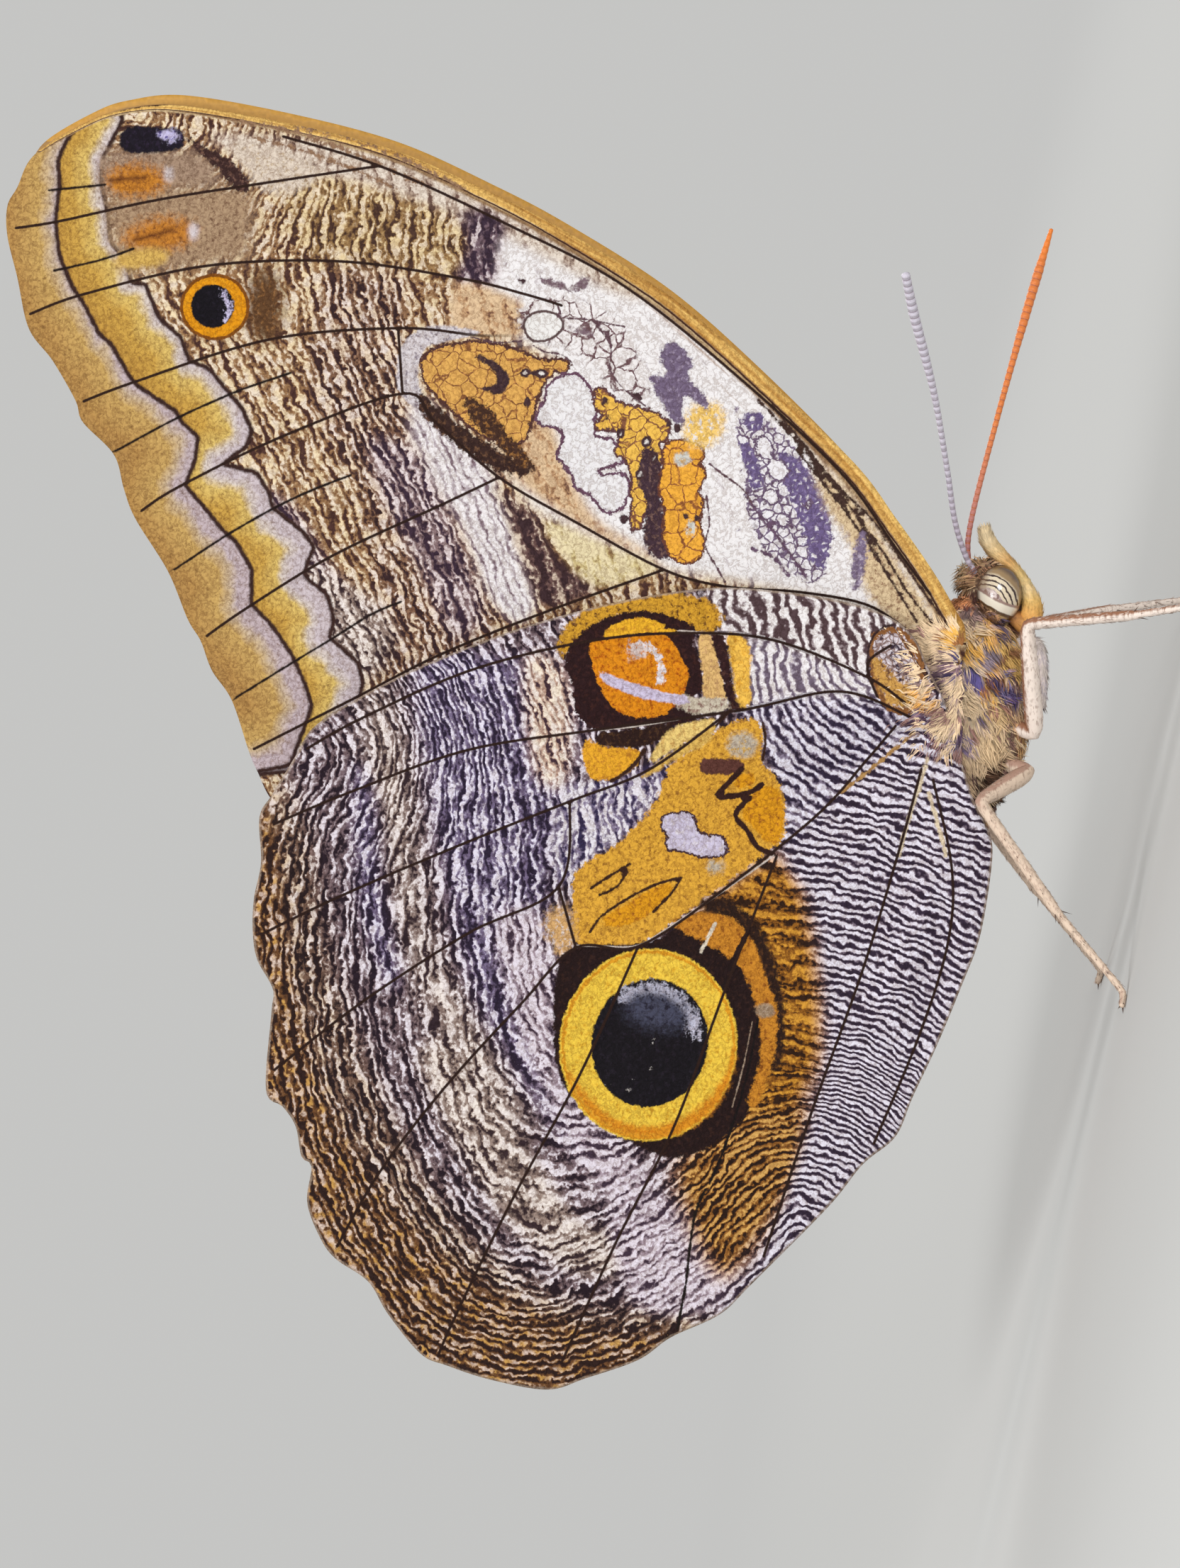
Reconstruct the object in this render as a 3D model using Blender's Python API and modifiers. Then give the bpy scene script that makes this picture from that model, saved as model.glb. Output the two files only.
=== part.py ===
"""Owl butterfly at rest with its wings closed, modelled at life size.

Lengths below are in millimetres in the body frame: the origin is the right forewing's
hinge seen from the side, +X points to the head, +Z to the back, and the right side is -Y.
STANCE carries that frame to the finished one, in metres, where the insect stands on the
floor at z = 0 with its nose slightly raised and its box centred on the origin.
"""
import math

import bmesh
import bpy
from mathutils import Matrix, Vector
from mathutils.geometry import delaunay_2d_cdt

MM = 0.001
GAP = 0.3

# Stance on the floor
PITCH_DEG = 13.4
HINGE_HEIGHT = 16.0
HINGE_FORWARD = 14.17
STANCE = (Matrix.Translation(Vector((HINGE_FORWARD, 0, HINGE_HEIGHT)) * MM)
          @ Matrix.Rotation(math.radians(-PITCH_DEG), 4, "Y")
          @ Matrix.Scale(MM, 4))

# Thorax, head and eyes are ellipsoids: centre and half sizes along X, Y, Z
THORAX_CENTRE = Vector((-4.5, 0, -0.4))
THORAX_HALF = Vector((7.8, 3.7, 4.4))
HEAD_CENTRE = Vector((3.3, 0, -2.1))
HEAD_HALF = Vector((2.7, 2.0, 2.5))
EYE_CENTRE = Vector((3.1, 1.35, -2.4))
EYE_HALF = Vector((2.0, 1.6, 1.6))
EYE_FLAT = 1.55

# Abdomen: a turned spindle that tilts up between the hindwings
ABDOMEN_START = Vector((-10.5, 0, -0.1))
ABDOMEN_TILT_DEG = 17
ABDOMEN_LENGTH = 21.5
ABDOMEN_RADIUS = 2.75
ABDOMEN_WIDEST = 8.0
ABDOMEN_RINGS = 7
ABDOMEN_GROOVE = 0.12

# Wing plates
MEMBRANE_HALF = 0.25
VEIN_RISE = 0.15
VEIN_HALF_WIDTH = 0.45
PLATE_HALF = MEMBRANE_HALF + VEIN_RISE
LAYER_STEP = 2 * PLATE_HALF + GAP
WING_TIP_OFFSET = 0.55
FOREWING_ROOT_OFFSET = 3.95
HINDWING_TIP_OFFSET = 0.7
HINDWING_ROOT_OFFSET = 3.9
FOLD_HEIGHT = 9.0
FOLD_POWER = 1.2
FOLD_BLEND = 0.2
LEFT_FOREWING_LEAD_DEG = 0.9

RIM_STEP = 1.9
VEIN_STEP = 4.0
FIELD_STEP = 5.5
FIELD_CLEARANCE = 1.7
VEIN_END_MARGIN = 1.0

# Forewing outline from the hinge along the costa to the apex, down the outer margin
# and back along the inner margin, as (x, z)
FOREWING_OUTLINE = [
    (0.5, 0.2), (1.8, 0.8), (4.6, 2.4), (8.4, 5.0), (12.3, 7.9), (18.8, 14.6), (24.3, 21.1),
    (28.8, 28.4), (31.5, 33.7), (34.4, 40.4), (36.3, 48.0), (37.5, 55.5), (37.1, 59.5),
    (36.2, 62.0), (34.0, 65.5), (31.7, 66.7), (30.4, 67.4), (28.3, 67.4), (25.4, 66.7),
    (21.8, 65.9), (19.5, 64.2), (16.7, 62.6), (15.2, 62.1), (12.9, 59.9), (10.5, 59.2),
    (8.4, 58.4), (4.7, 56.1), (1.3, 54.7), (-0.2, 53.8), (-2.3, 53.0), (-4.4, 51.6),
    (-8.0, 50.4), (-9.4, 49.8), (-11.6, 48.6), (-13.0, 46.0), (-12.2, 40.0), (-10.0, 33.0),
    (-6.6, 20.0), (-4.0, 8.0), (-2.9, 2.4), (-1.6, 0.4),
]

# Forewing veins, each from its root outwards, as (x, z)
FOREWING_VEINS = {
    "subcosta": [(3.0, 2.6), (6.3, 5.0), (11.7, 8.9), (18.8, 16.5), (24.9, 24.2), (29.0, 32.0),
                 (33.1, 40.9), (35.3, 48.0)],
    "radius": [(1.9, 3.0), (6.2, 8.0), (12.6, 16.0), (17.6, 23.0), (20.9, 30.1), (21.3, 34.4),
               (21.8, 39.9), (21.0, 49.0), (18.0, 58.5), (16.5, 62.4)],
    "radial_fork": [(20.9, 30.1), (23.8, 30.6), (25.3, 35.5), (26.5, 43.9), (26.2, 53.3),
                    (24.2, 62.0), (22.8, 65.8)],
    "apical": [(33.2, 41.4), (31.9, 50.1), (30.8, 57.0), (29.3, 63.9), (28.8, 67.2)],
    "cell_end": [(21.8, 39.9), (17.2, 39.6)],
    "cubitus": [(0.5, 4.2), (2.3, 7.0), (3.2, 11.6), (3.6, 16.8), (4.8, 21.2), (8.2, 27.5),
                (11.3, 32.8), (15.2, 37.3), (17.2, 39.6), (14.2, 48.0), (10.6, 55.4), (8.7, 58.3)],
    "cubital_fork_upper": [(11.3, 32.8), (9.3, 37.0), (5.8, 44.5), (2.2, 50.4), (-0.1, 53.7)],
    "cubital_fork_lower": [(4.8, 21.2), (1.8, 29.6), (-1.2, 37.0), (-4.1, 42.7), (-8.0, 50.4)],
    "anal": [(-1.6, 2.6), (-2.2, 12.0), (-5.8, 25.0), (-9.6, 38.0), (-11.6, 46.0)],
}

# Hindwing outline from its front root along the costa, round the scalloped margin and
# up the inner margin that wraps the abdomen, as (x, z)
HINDWING_OUTLINE = [
    (0.0, 3.8), (1.6, 5.9), (2.8, 10.2), (3.5, 16.6), (3.0, 21.8), (2.0, 26.6), (0.5, 31.8),
    (-1.9, 38.0), (-4.2, 42.6), (-6.3, 45.8), (-8.2, 47.0), (-11.0, 48.7), (-12.6, 49.6),
    (-15.8, 49.5), (-18.3, 50.0), (-20.6, 50.1), (-22.6, 49.8), (-24.7, 48.7), (-26.3, 48.8),
    (-31.8, 49.2), (-33.0, 48.0), (-34.4, 47.1), (-36.5, 46.7), (-37.2, 46.0), (-39.7, 46.3),
    (-42.2, 45.4), (-43.7, 44.3), (-45.3, 42.0), (-47.6, 40.6), (-50.4, 38.3), (-51.2, 36.5),
    (-52.2, 33.4), (-52.9, 29.4), (-52.1, 26.7), (-50.8, 23.0), (-49.2, 20.7), (-47.6, 17.3),
    (-45.5, 15.1), (-40.0, 9.7), (-37.0, 7.3), (-35.0, 5.0), (-32.2, 3.8), (-28.5, 2.1),
    (-24.3, 0.4), (-20.7, -0.9), (-15.5, -1.7), (-13.4, -1.4), (-11.4, -0.4), (-8.5, 0.5),
    (-5.0, 1.5), (-2.2, 2.8),
]

# Hindwing veins, each from its root outwards, as (x, z)
HINDWING_VEINS = {
    "subcosta": [(-4.6, 4.4), (-2.8, 7.0), (-0.4, 12.8), (0.3, 17.9), (-0.1, 25.5), (-2.2, 34.5),
                 (-5.7, 42.5), (-8.0, 46.6)],
    "humeral": [(-0.6, 5.4), (-1.9, 7.0), (-4.2, 6.3)],
    "radius": [(-5.6, 4.0), (-3.8, 8.9), (-5.1, 15.8), (-6.5, 26.1), (-7.9, 35.0), (-10.8, 43.1),
               (-13.1, 48.6)],
    "media_upper": [(-5.5, 17.0), (-9.3, 22.3), (-11.5, 27.8), (-14.6, 35.6), (-18.1, 43.8),
                    (-21.0, 49.8)],
    "media_lower": [(-11.5, 27.8), (-17.5, 28.6), (-20.8, 35.0), (-25.6, 42.4), (-30.4, 48.6)],
    "cubitus": [(-6.2, 5.0), (-8.6, 7.0), (-12.5, 10.5), (-17.7, 17.0), (-21.7, 23.0),
                (-21.8, 27.4), (-25.7, 31.2), (-31.5, 36.5), (-37.6, 41.2), (-43.2, 44.4)],
    "cell_end": [(-17.5, 28.6), (-21.8, 27.4)],
    "cubital_fork_upper": [(-21.7, 23.0), (-30.7, 27.1), (-39.4, 31.8), (-48.0, 36.0),
                           (-51.3, 37.4)],
    "cubital_fork_lower": [(-15.4, 13.3), (-25.0, 17.0), (-34.4, 20.5), (-42.6, 24.6),
                           (-51.0, 28.4)],
    "anal_upper": [(-9.2, 3.2), (-14.4, 4.6), (-23.4, 7.3), (-33.5, 10.9), (-43.5, 14.2)],
    "anal_lower": [(-10.0, 2.4), (-16.3, 1.1), (-21.5, 1.4), (-28.0, 3.4), (-35.5, 6.5)],
}

# The forewing's hidden inner margin, as z along x, tells the hindwing where it lies on top
INNER_MARGIN_START = -2.2
INNER_MARGIN_SLOPE = -0.18
LAYER_EASE = 1.0
LAYER_REACH_ROOT = 2.0
LAYER_REACH_SLOPE = 0.35

# Feelers, palps and tongue: right or left routes and radii from root to tip
ANTENNA_ROUTE = {
    "right": [(4.4, -0.7, -0.9), (5.6, -1.0, -0.1), (8.1, -2.4, 0.8), (11.8, -4.6, 1.5),
              (16.9, -7.9, 2.6), (21.9, -11.2, 4.1), (24.6, -13.2, 4.8)],
    "left": [(4.4, 0.7, -0.9), (5.8, 0.9, -0.3), (8.6, 1.4, -0.6), (15.3, 3.2, -2.4),
             (23.3, 5.2, -4.7), (29.4, 6.6, -6.6)],
}
ANTENNA_RADII = [0.26, 0.25, 0.25, 0.27, 0.33, 0.36, 0.2]
ANTENNA_STEP = 1.2
PALP_ROUTE = [(2.2, 1.0, -3.4), (1.8, 1.2, -4.8), (2.6, 1.25, -5.4), (3.9, 1.2, -4.95),
              (5.2, 1.1, -4.0), (6.5, 1.0, -3.05), (7.6, 0.9, -2.0), (8.0, 0.85, -1.5)]
PALP_RADII = [0.5, 0.55, 0.62, 0.62, 0.58, 0.5, 0.4, 0.2]
PALP_STEP = 0.6
TONGUE_CENTRE = (3.6, -5.75)
TONGUE_TURNS = 1.05
TONGUE_OUTER = 0.74
TONGUE_INNER = 0.28
TONGUE_RADIUS = 0.17

# Legs: joints in the body frame on the right side, then the foot's heel and toe on the
# floor as finished (x, y). Radii run from the hip to the toe.
LEG_JOINTS = {
    "midleg": [(-6.0, 1.4, -2.8), (-6.8, 2.3, -4.8), (0.9, 4.4, -4.1), (1.4, 8.8, -11.2)],
    "hindleg": [(-8.6, 1.2, -2.0), (-9.4, 2.4, -4.4), (-11.5, 5.6, -0.7), (-19.0, 8.2, -5.8)],
}
LEG_FOOT = {
    "midleg": [(20.2, 12.8), (20.6, 14.0)],
    "hindleg": [(-7.4, 10.8), (-8.3, 11.8)],
}
LEG_LEAD = {"right": 0.0, "left": 0.9}
HIP_RADIUS = 0.55
FEMUR_RADIUS = 0.62
TIBIA_RADIUS = 0.48
TARSUS_RADIUS = 0.34
TARSUS_BEAD = 0.05
FOOT_HEIGHT = 0.24
KNEE_BEND = 0.9
FORELEG_ROUTE = [(-0.6, 0.9, -3.0), (-0.3, 0.95, -4.7), (-0.9, 0.95, -5.25),
                 (-2.8, 0.95, -5.4), (-4.9, 0.9, -5.4)]
FORELEG_RADII = [0.4, 0.42, 0.42, 0.36, 0.25]

COLOURS = {
    "wing_upper": (0.46, 0.33, 0.17, 1),
    "fur": (0.42, 0.36, 0.32, 1),
    "eye": (0.12, 0.07, 0.05, 1),
    "horn": (0.62, 0.44, 0.30, 1),
    "leg": (0.55, 0.42, 0.32, 1),
}


def material(name, roughness):
    """The named plain finish, made once and shared."""
    found = bpy.data.materials.get(name)
    if found:
        return found
    made = bpy.data.materials.new(name)
    made.use_nodes = True
    shader = made.node_tree.nodes["Principled BSDF"]
    shader.inputs["Base Color"].default_value = COLOURS[name]
    shader.inputs["Roughness"].default_value = roughness
    shader.inputs["Metallic"].default_value = 0.0
    made.diffuse_color = COLOURS[name]
    return made


def new_collection(name):
    """A collection linked to the scene."""
    made = bpy.data.collections.new(name)
    bpy.context.scene.collection.children.link(made)
    return made


def add_object(name, mesh, finish, collection):
    """A node of the insect with its material and smooth shading."""
    made = bpy.data.objects.new(name, mesh)
    collection.objects.link(made)
    mesh.materials.clear()
    mesh.materials.append(finish)
    mesh.shade_smooth()
    return made


def smooth_path(points, step, closed=False):
    """Points about a step apart on a smooth curve through the control points."""
    controls = [Vector(point) for point in points]
    count = len(controls)
    spans = count if closed else count - 1
    dense = []
    for index in range(spans):
        if closed:
            picked = [controls[(index + shift) % count] for shift in (-1, 0, 1, 2)]
        else:
            picked = [controls[min(max(index + shift, 0), count - 1)] for shift in (-1, 0, 1, 2)]
        before, start, end, after = picked
        for part in range(12):
            f = part / 12
            bend = (2 * before - 5 * start + 4 * end - after) * f
            twist = (3 * start - before - 3 * end + after) * f * f
            dense.append(start + 0.5 * f * ((end - before) + bend + twist))
    dense.append(controls[0] if closed else controls[-1])
    lengths = [0.0]
    for index in range(1, len(dense)):
        lengths.append(lengths[-1] + (dense[index] - dense[index - 1]).length)
    parts = max(2, round(lengths[-1] / step))
    path = []
    cursor = 0
    for index in range(parts if closed else parts + 1):
        wanted = lengths[-1] * index / parts
        while cursor < len(lengths) - 2 and lengths[cursor + 1] < wanted:
            cursor += 1
        span = lengths[cursor + 1] - lengths[cursor]
        share = (wanted - lengths[cursor]) / span if span else 0.0
        path.append(dense[cursor].lerp(dense[cursor + 1], share))
    return path


def share_along(path):
    """How far along its length each point of a path lies, from 0 to 1."""
    lengths = [0.0]
    for index in range(1, len(path)):
        lengths.append(lengths[-1] + (path[index] - path[index - 1]).length)
    return [length / lengths[-1] for length in lengths]


def value_at(values, share):
    """A value read from a list spread evenly over 0 to 1."""
    place = min(max(share, 0.0), 1.0) * (len(values) - 1)
    low = min(int(place), len(values) - 2)
    return values[low] + (values[low + 1] - values[low]) * (place - low)


def smooth_step(low, high, value):
    """0 below low, 1 above high and an eased ramp between."""
    share = min(max((value - low) / (high - low), 0.0), 1.0)
    return share * share * (3 - 2 * share)


def smooth_max(first, second, blend):
    """The larger of two values with a rounded changeover."""
    return 0.5 * (first + second + math.sqrt((first - second) ** 2 + blend ** 2))


def abdomen_radius(along):
    """The abdomen's radius at a distance from its front end."""
    if along < 0 or along > ABDOMEN_LENGTH:
        return 0.0
    if along < ABDOMEN_WIDEST:
        return ABDOMEN_RADIUS * (1 - 0.22 * (1 - along / ABDOMEN_WIDEST) ** 2)
    share = (along - ABDOMEN_WIDEST) / (ABDOMEN_LENGTH - ABDOMEN_WIDEST)
    return ABDOMEN_RADIUS * math.sqrt(max(0.0, 1 - share ** 2.4))


def abdomen_half_width(x, z):
    """Half the abdomen's width at a place in the side view."""
    tilt = math.radians(ABDOMEN_TILT_DEG)
    dx = x - ABDOMEN_START.x
    dz = z - ABDOMEN_START.z
    along = -dx * math.cos(tilt) + dz * math.sin(tilt)
    across = dx * math.sin(tilt) + dz * math.cos(tilt)
    return math.sqrt(max(0.0, abdomen_radius(along) ** 2 - across ** 2))


def thorax_half_width(x, z):
    """Half the thorax's width at a place in the side view."""
    along = (x - THORAX_CENTRE.x) / THORAX_HALF.x
    up = (z - THORAX_CENTRE.z) / THORAX_HALF.z
    return THORAX_HALF.y * math.sqrt(max(0.0, 1 - along ** 2 - up ** 2))


def folded_offset(x, z, tip_offset, root_offset):
    """How far a closed wing's middle stands from the insect's mid plane."""
    height = max(z, 0.0) / FOLD_HEIGHT
    fold = tip_offset + (root_offset - tip_offset) * math.exp(-height ** FOLD_POWER)
    body = max(thorax_half_width(x, z), abdomen_half_width(x, z))
    return smooth_max(fold, body + GAP + PLATE_HALF, FOLD_BLEND)


def forewing_offset(x, z):
    return folded_offset(x, z, WING_TIP_OFFSET, FOREWING_ROOT_OFFSET)


def hindwing_offset(x, z):
    """The hindwing lies outside the forewing and settles inwards where that one ends."""
    own = folded_offset(x, z, HINDWING_TIP_OFFSET, HINDWING_ROOT_OFFSET)
    over = forewing_offset(x, z) + LAYER_STEP
    edge = INNER_MARGIN_START + INNER_MARGIN_SLOPE * z - LAYER_EASE
    reach = LAYER_REACH_ROOT + LAYER_REACH_SLOPE * max(z, 0.0)
    share = smooth_step(edge - reach, edge, x)
    return own + (over - own) * share


def distance_to_lines(point, lines):
    """The distance from a point to the nearest of several open lines."""
    nearest = math.inf
    for line in lines:
        for start, end in zip(line, line[1:]):
            span = end - start
            share = (point - start).dot(span) / max(span.length_squared, 1e-9)
            share = min(max(share, 0.0), 1.0)
            nearest = min(nearest, (point - start - span * share).length)
    return nearest


def is_inside(point, loop):
    """Whether a point lies inside a closed loop."""
    inside = False
    for start, end in zip(loop, loop[1:] + loop[:1]):
        if (start.y > point.y) != (end.y > point.y):
            crossing = start.x + (point.y - start.y) / (end.y - start.y) * (end.x - start.x)
            if point.x < crossing:
                inside = not inside
    return inside


def vein_feet(line):
    """The two lines where a vein's ridge meets the membrane."""
    feet = ([], [])
    for index, point in enumerate(line):
        before = line[max(index - 1, 0)]
        after = line[min(index + 1, len(line) - 1)]
        along = (after - before).normalized()
        sideways = Vector((-along.y, along.x)) * VEIN_HALF_WIDTH
        feet[0].append(point + sideways)
        feet[1].append(point - sideways)
    return feet


def wing_triangles(outline, veins):
    """One triangulation of a wing's outline that follows all of its veins."""
    rim = smooth_path(outline, RIM_STEP, closed=True)
    closed_rim = [rim + rim[:1]]
    lines = []
    for controls in veins.values():
        line = smooth_path(controls, VEIN_STEP)
        kept = [point for point in line
                if is_inside(point, rim) and distance_to_lines(point, closed_rim) > VEIN_END_MARGIN]
        lines.append(kept)
    points = list(rim)
    edges = []

    def add_line(line):
        first = len(points)
        points.extend(line)
        edges.extend((first + index, first + index + 1) for index in range(len(line) - 1))

    for line in lines:
        add_line(line)
        for foot in vein_feet(line):
            add_line(foot)
    low_x = min(point.x for point in rim)
    low_z = min(point.y for point in rim)
    columns = int((max(point.x for point in rim) - low_x) / FIELD_STEP) + 1
    rows = int((max(point.y for point in rim) - low_z) / FIELD_STEP) + 1
    for column in range(columns):
        for row in range(rows):
            shift = 0.5 * (column % 2)
            point = Vector((low_x + column * FIELD_STEP, low_z + (row + shift) * FIELD_STEP))
            if is_inside(point, rim) and distance_to_lines(point, closed_rim + lines) > FIELD_CLEARANCE:
                points.append(point)
    result = delaunay_2d_cdt(points, edges, [list(range(len(rim)))], 1, 1e-4)
    return result[0], result[2], lines


def build_wing(name, outline, veins, offset, side, lead_deg, finish, collection):
    """A wing: a thin folded plate with its veins raised on both faces."""
    flat, faces, lines = wing_triangles(outline, veins)
    lead = Matrix.Rotation(math.radians(-lead_deg), 2)
    mesh = bmesh.new()
    layers = ([], [])
    for point in flat:
        rise = VEIN_RISE * max(0.0, 1 - distance_to_lines(point, lines) / VEIN_HALF_WIDTH)
        placed = lead @ point
        middle = offset(placed.x, placed.y)
        for layer, sign in zip(layers, (1, -1)):
            y = side * (middle + sign * (MEMBRANE_HALF + rise))
            layer.append(mesh.verts.new((placed.x, y, placed.y)))
    uses = {}
    for face in faces:
        for layer in layers:
            mesh.faces.new([layer[index] for index in face])
        for start, end in zip(face, face[1:] + face[:1]):
            key = (min(start, end), max(start, end))
            uses[key] = uses.get(key, 0) + 1
    for (start, end), count in uses.items():
        if count == 1:
            outer, inner = layers
            mesh.faces.new((outer[start], outer[end], inner[end]))
            mesh.faces.new((outer[start], inner[end], inner[start]))
    loose = [vert for vert in mesh.verts if not vert.link_faces]
    bmesh.ops.delete(mesh, geom=loose, context="VERTS")
    bmesh.ops.recalc_face_normals(mesh, faces=mesh.faces)
    mesh.transform(STANCE)
    data = bpy.data.meshes.new(name)
    mesh.to_mesh(data)
    mesh.free()
    return add_object(name, data, finish, collection)


def ellipsoid(name, centre, half, collection, segments=20, rings=12):
    """An ellipsoid in the body frame."""
    mesh = bmesh.new()
    bmesh.ops.create_uvsphere(mesh, u_segments=segments, v_segments=rings, radius=1.0)
    mesh.transform(Matrix.Translation(centre) @ Matrix.Diagonal(half.to_4d()))
    data = bpy.data.meshes.new(name)
    mesh.to_mesh(data)
    mesh.free()
    made = bpy.data.objects.new(name, data)
    collection.objects.link(made)
    return made


def halve(item, distance, side):
    """Keep only what lies beyond a distance from the mid plane, with a flat face there."""
    mesh = bmesh.new()
    mesh.from_mesh(item.data)
    plane = Vector((0, side * distance, 0))
    geometry = mesh.verts[:] + mesh.edges[:] + mesh.faces[:]
    cut = bmesh.ops.bisect_plane(mesh, geom=geometry, plane_co=plane,
                                 plane_no=Vector((0, -side, 0)), clear_outer=True)
    rim = [part for part in cut["geom_cut"] if isinstance(part, bmesh.types.BMEdge)]
    bmesh.ops.contextual_create(mesh, geom=rim)
    bmesh.ops.recalc_face_normals(mesh, faces=mesh.faces)
    mesh.to_mesh(item.data)
    mesh.free()


def cut_away(item, cutters):
    """Subtract the cutters from an object and keep its largest piece."""
    for cutter in cutters:
        modifier = item.modifiers.new(cutter.name, "BOOLEAN")
        modifier.operation = "DIFFERENCE"
        modifier.object = cutter
    settle(item)
    mesh = bmesh.new()
    mesh.from_mesh(item.data)
    bmesh.ops.remove_doubles(mesh, verts=mesh.verts, dist=1e-3)
    groups = []
    seen = set()
    for vert in mesh.verts:
        if vert in seen:
            continue
        group = [vert]
        seen.add(vert)
        for found in group:
            for edge in found.link_edges:
                other = edge.other_vert(found)
                if other not in seen:
                    seen.add(other)
                    group.append(other)
        groups.append(group)
    groups.sort(key=len)
    for group in groups[:-1]:
        bmesh.ops.delete(mesh, geom=group, context="VERTS")
    mesh.to_mesh(item.data)
    mesh.free()


def settle(item):
    """Turn a curve, or a mesh with modifiers, into the plain mesh that it shows."""
    bpy.context.view_layer.update()
    shown = item.evaluated_get(bpy.context.evaluated_depsgraph_get())
    data = bpy.data.meshes.new_from_object(shown)
    item.modifiers.clear()
    item.data = data


def tube(name, path, radii, collection, sides=2):
    """A round tube along a path, with a radius at each point, as a closed mesh."""
    curve = bpy.data.curves.new(name, "CURVE")
    curve.dimensions = "3D"
    curve.bevel_depth = 1.0
    curve.bevel_resolution = sides
    curve.use_fill_caps = True
    spline = curve.splines.new("POLY")
    spline.points.add(len(path) - 1)
    for point, place, radius in zip(spline.points, path, radii):
        point.co = (*place, 1)
        point.radius = radius
    drawn = bpy.data.objects.new(name + "_route", curve)
    collection.objects.link(drawn)
    bpy.context.view_layer.update()
    shown = drawn.evaluated_get(bpy.context.evaluated_depsgraph_get())
    data = bpy.data.meshes.new_from_object(shown)
    mesh = bmesh.new()
    mesh.from_mesh(data)
    bmesh.ops.remove_doubles(mesh, verts=mesh.verts, dist=1e-4)
    mesh.to_mesh(data)
    mesh.free()
    bpy.data.objects.remove(drawn)
    made = bpy.data.objects.new(name, data)
    collection.objects.link(made)
    return made


def finish_node(item, finish):
    """Carry a node from the body frame onto the floor and give it its finish."""
    item.data.transform(STANCE)
    item.data.materials.clear()
    item.data.materials.append(finish)
    item.data.shade_smooth()


def build_trunk(insect, cutters):
    """Thorax, abdomen, head and eyes, each cut clear of what it grows from."""
    fur = material("fur", 0.8)
    grow = Vector((GAP, GAP, GAP))
    thorax = ellipsoid("thorax", THORAX_CENTRE, THORAX_HALF, insect, 28, 18)
    thorax_room = ellipsoid("thorax_room", THORAX_CENTRE, THORAX_HALF + grow, cutters, 28, 18)
    head_room = ellipsoid("head_room", HEAD_CENTRE, HEAD_HALF + grow, cutters)
    eye_rooms = []
    for side_name, side in (("right", -1), ("left", 1)):
        centre = Vector((EYE_CENTRE.x, side * EYE_CENTRE.y, EYE_CENTRE.z))
        eye = ellipsoid("eye_" + side_name, centre, EYE_HALF, insect)
        halve(eye, EYE_FLAT, side)
        room = ellipsoid("eye_room_" + side_name, centre, EYE_HALF + grow, cutters)
        halve(room, EYE_FLAT - GAP, side)
        eye_rooms.append(room)
        cut_away(eye, [thorax_room])
        finish_node(eye, material("eye", 0.25))
    head = ellipsoid("head", HEAD_CENTRE, HEAD_HALF, insect, 24, 16)
    cut_away(head, [thorax_room] + eye_rooms)
    abdomen = build_abdomen(insect)
    cut_away(abdomen, [thorax_room])
    for item in (head, abdomen, thorax):
        finish_node(item, fur)
    return thorax_room, head_room


def build_abdomen(collection):
    """A ringed spindle turned about its own axis."""
    samples = 3 * ABDOMEN_RINGS
    mesh = bmesh.new()
    verts = []
    for index in range(samples + 1):
        along = ABDOMEN_LENGTH * index / samples
        groove = ABDOMEN_GROOVE if 0 < index < samples - 1 and index % 3 == 0 else 0.0
        radius = max(0.0, abdomen_radius(along) - groove)
        if index == 0:
            verts.append(mesh.verts.new((0, 0, 0)))
        verts.append(mesh.verts.new((radius, 0, -along)))
    for start, end in zip(verts, verts[1:]):
        mesh.edges.new((start, end))
    data = bpy.data.meshes.new("abdomen")
    mesh.to_mesh(data)
    mesh.free()
    made = bpy.data.objects.new("abdomen", data)
    collection.objects.link(made)
    screw = made.modifiers.new("turn", "SCREW")
    screw.steps = 18
    screw.render_steps = 18
    screw.use_merge_vertices = True
    screw.merge_threshold = 1e-4
    settle(made)
    lay = Matrix.Rotation(math.radians(90 + ABDOMEN_TILT_DEG), 4, "Y")
    made.data.transform(Matrix.Translation(ABDOMEN_START) @ lay)
    return made


def build_mouth_and_feelers(insect, head_room, thorax_room):
    """Palps, coiled tongue and feelers, rooted on the head."""
    horn = material("horn", 0.5)
    for side_name, side in (("right", -1), ("left", 1)):
        path = smooth_path([(x, side * y, z) for x, y, z in PALP_ROUTE], PALP_STEP)
        radii = [value_at(PALP_RADII, share) for share in share_along(path)]
        palp = tube("palp_" + side_name, path, radii, insect)
        cut_away(palp, [head_room, thorax_room])
        finish_node(palp, material("fur", 0.8))
        path = smooth_path(ANTENNA_ROUTE[side_name], ANTENNA_STEP)
        radii = [value_at(ANTENNA_RADII, share) for share in share_along(path)]
        antenna = tube("antenna_" + side_name, path, radii, insect)
        cut_away(antenna, [head_room])
        finish_node(antenna, horn)
    coil = []
    turns = 26
    for index in range(turns + 1):
        share = index / turns
        angle = math.radians(90) + 2 * math.pi * TONGUE_TURNS * share
        radius = TONGUE_OUTER + (TONGUE_INNER - TONGUE_OUTER) * share
        coil.append(Vector((TONGUE_CENTRE[0] + radius * math.cos(angle), 0,
                            TONGUE_CENTRE[1] + radius * math.sin(angle))))
    tongue = tube("proboscis", coil, [TONGUE_RADIUS] * len(coil), insect, 1)
    cut_away(tongue, [head_room])
    finish_node(tongue, horn)


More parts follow.
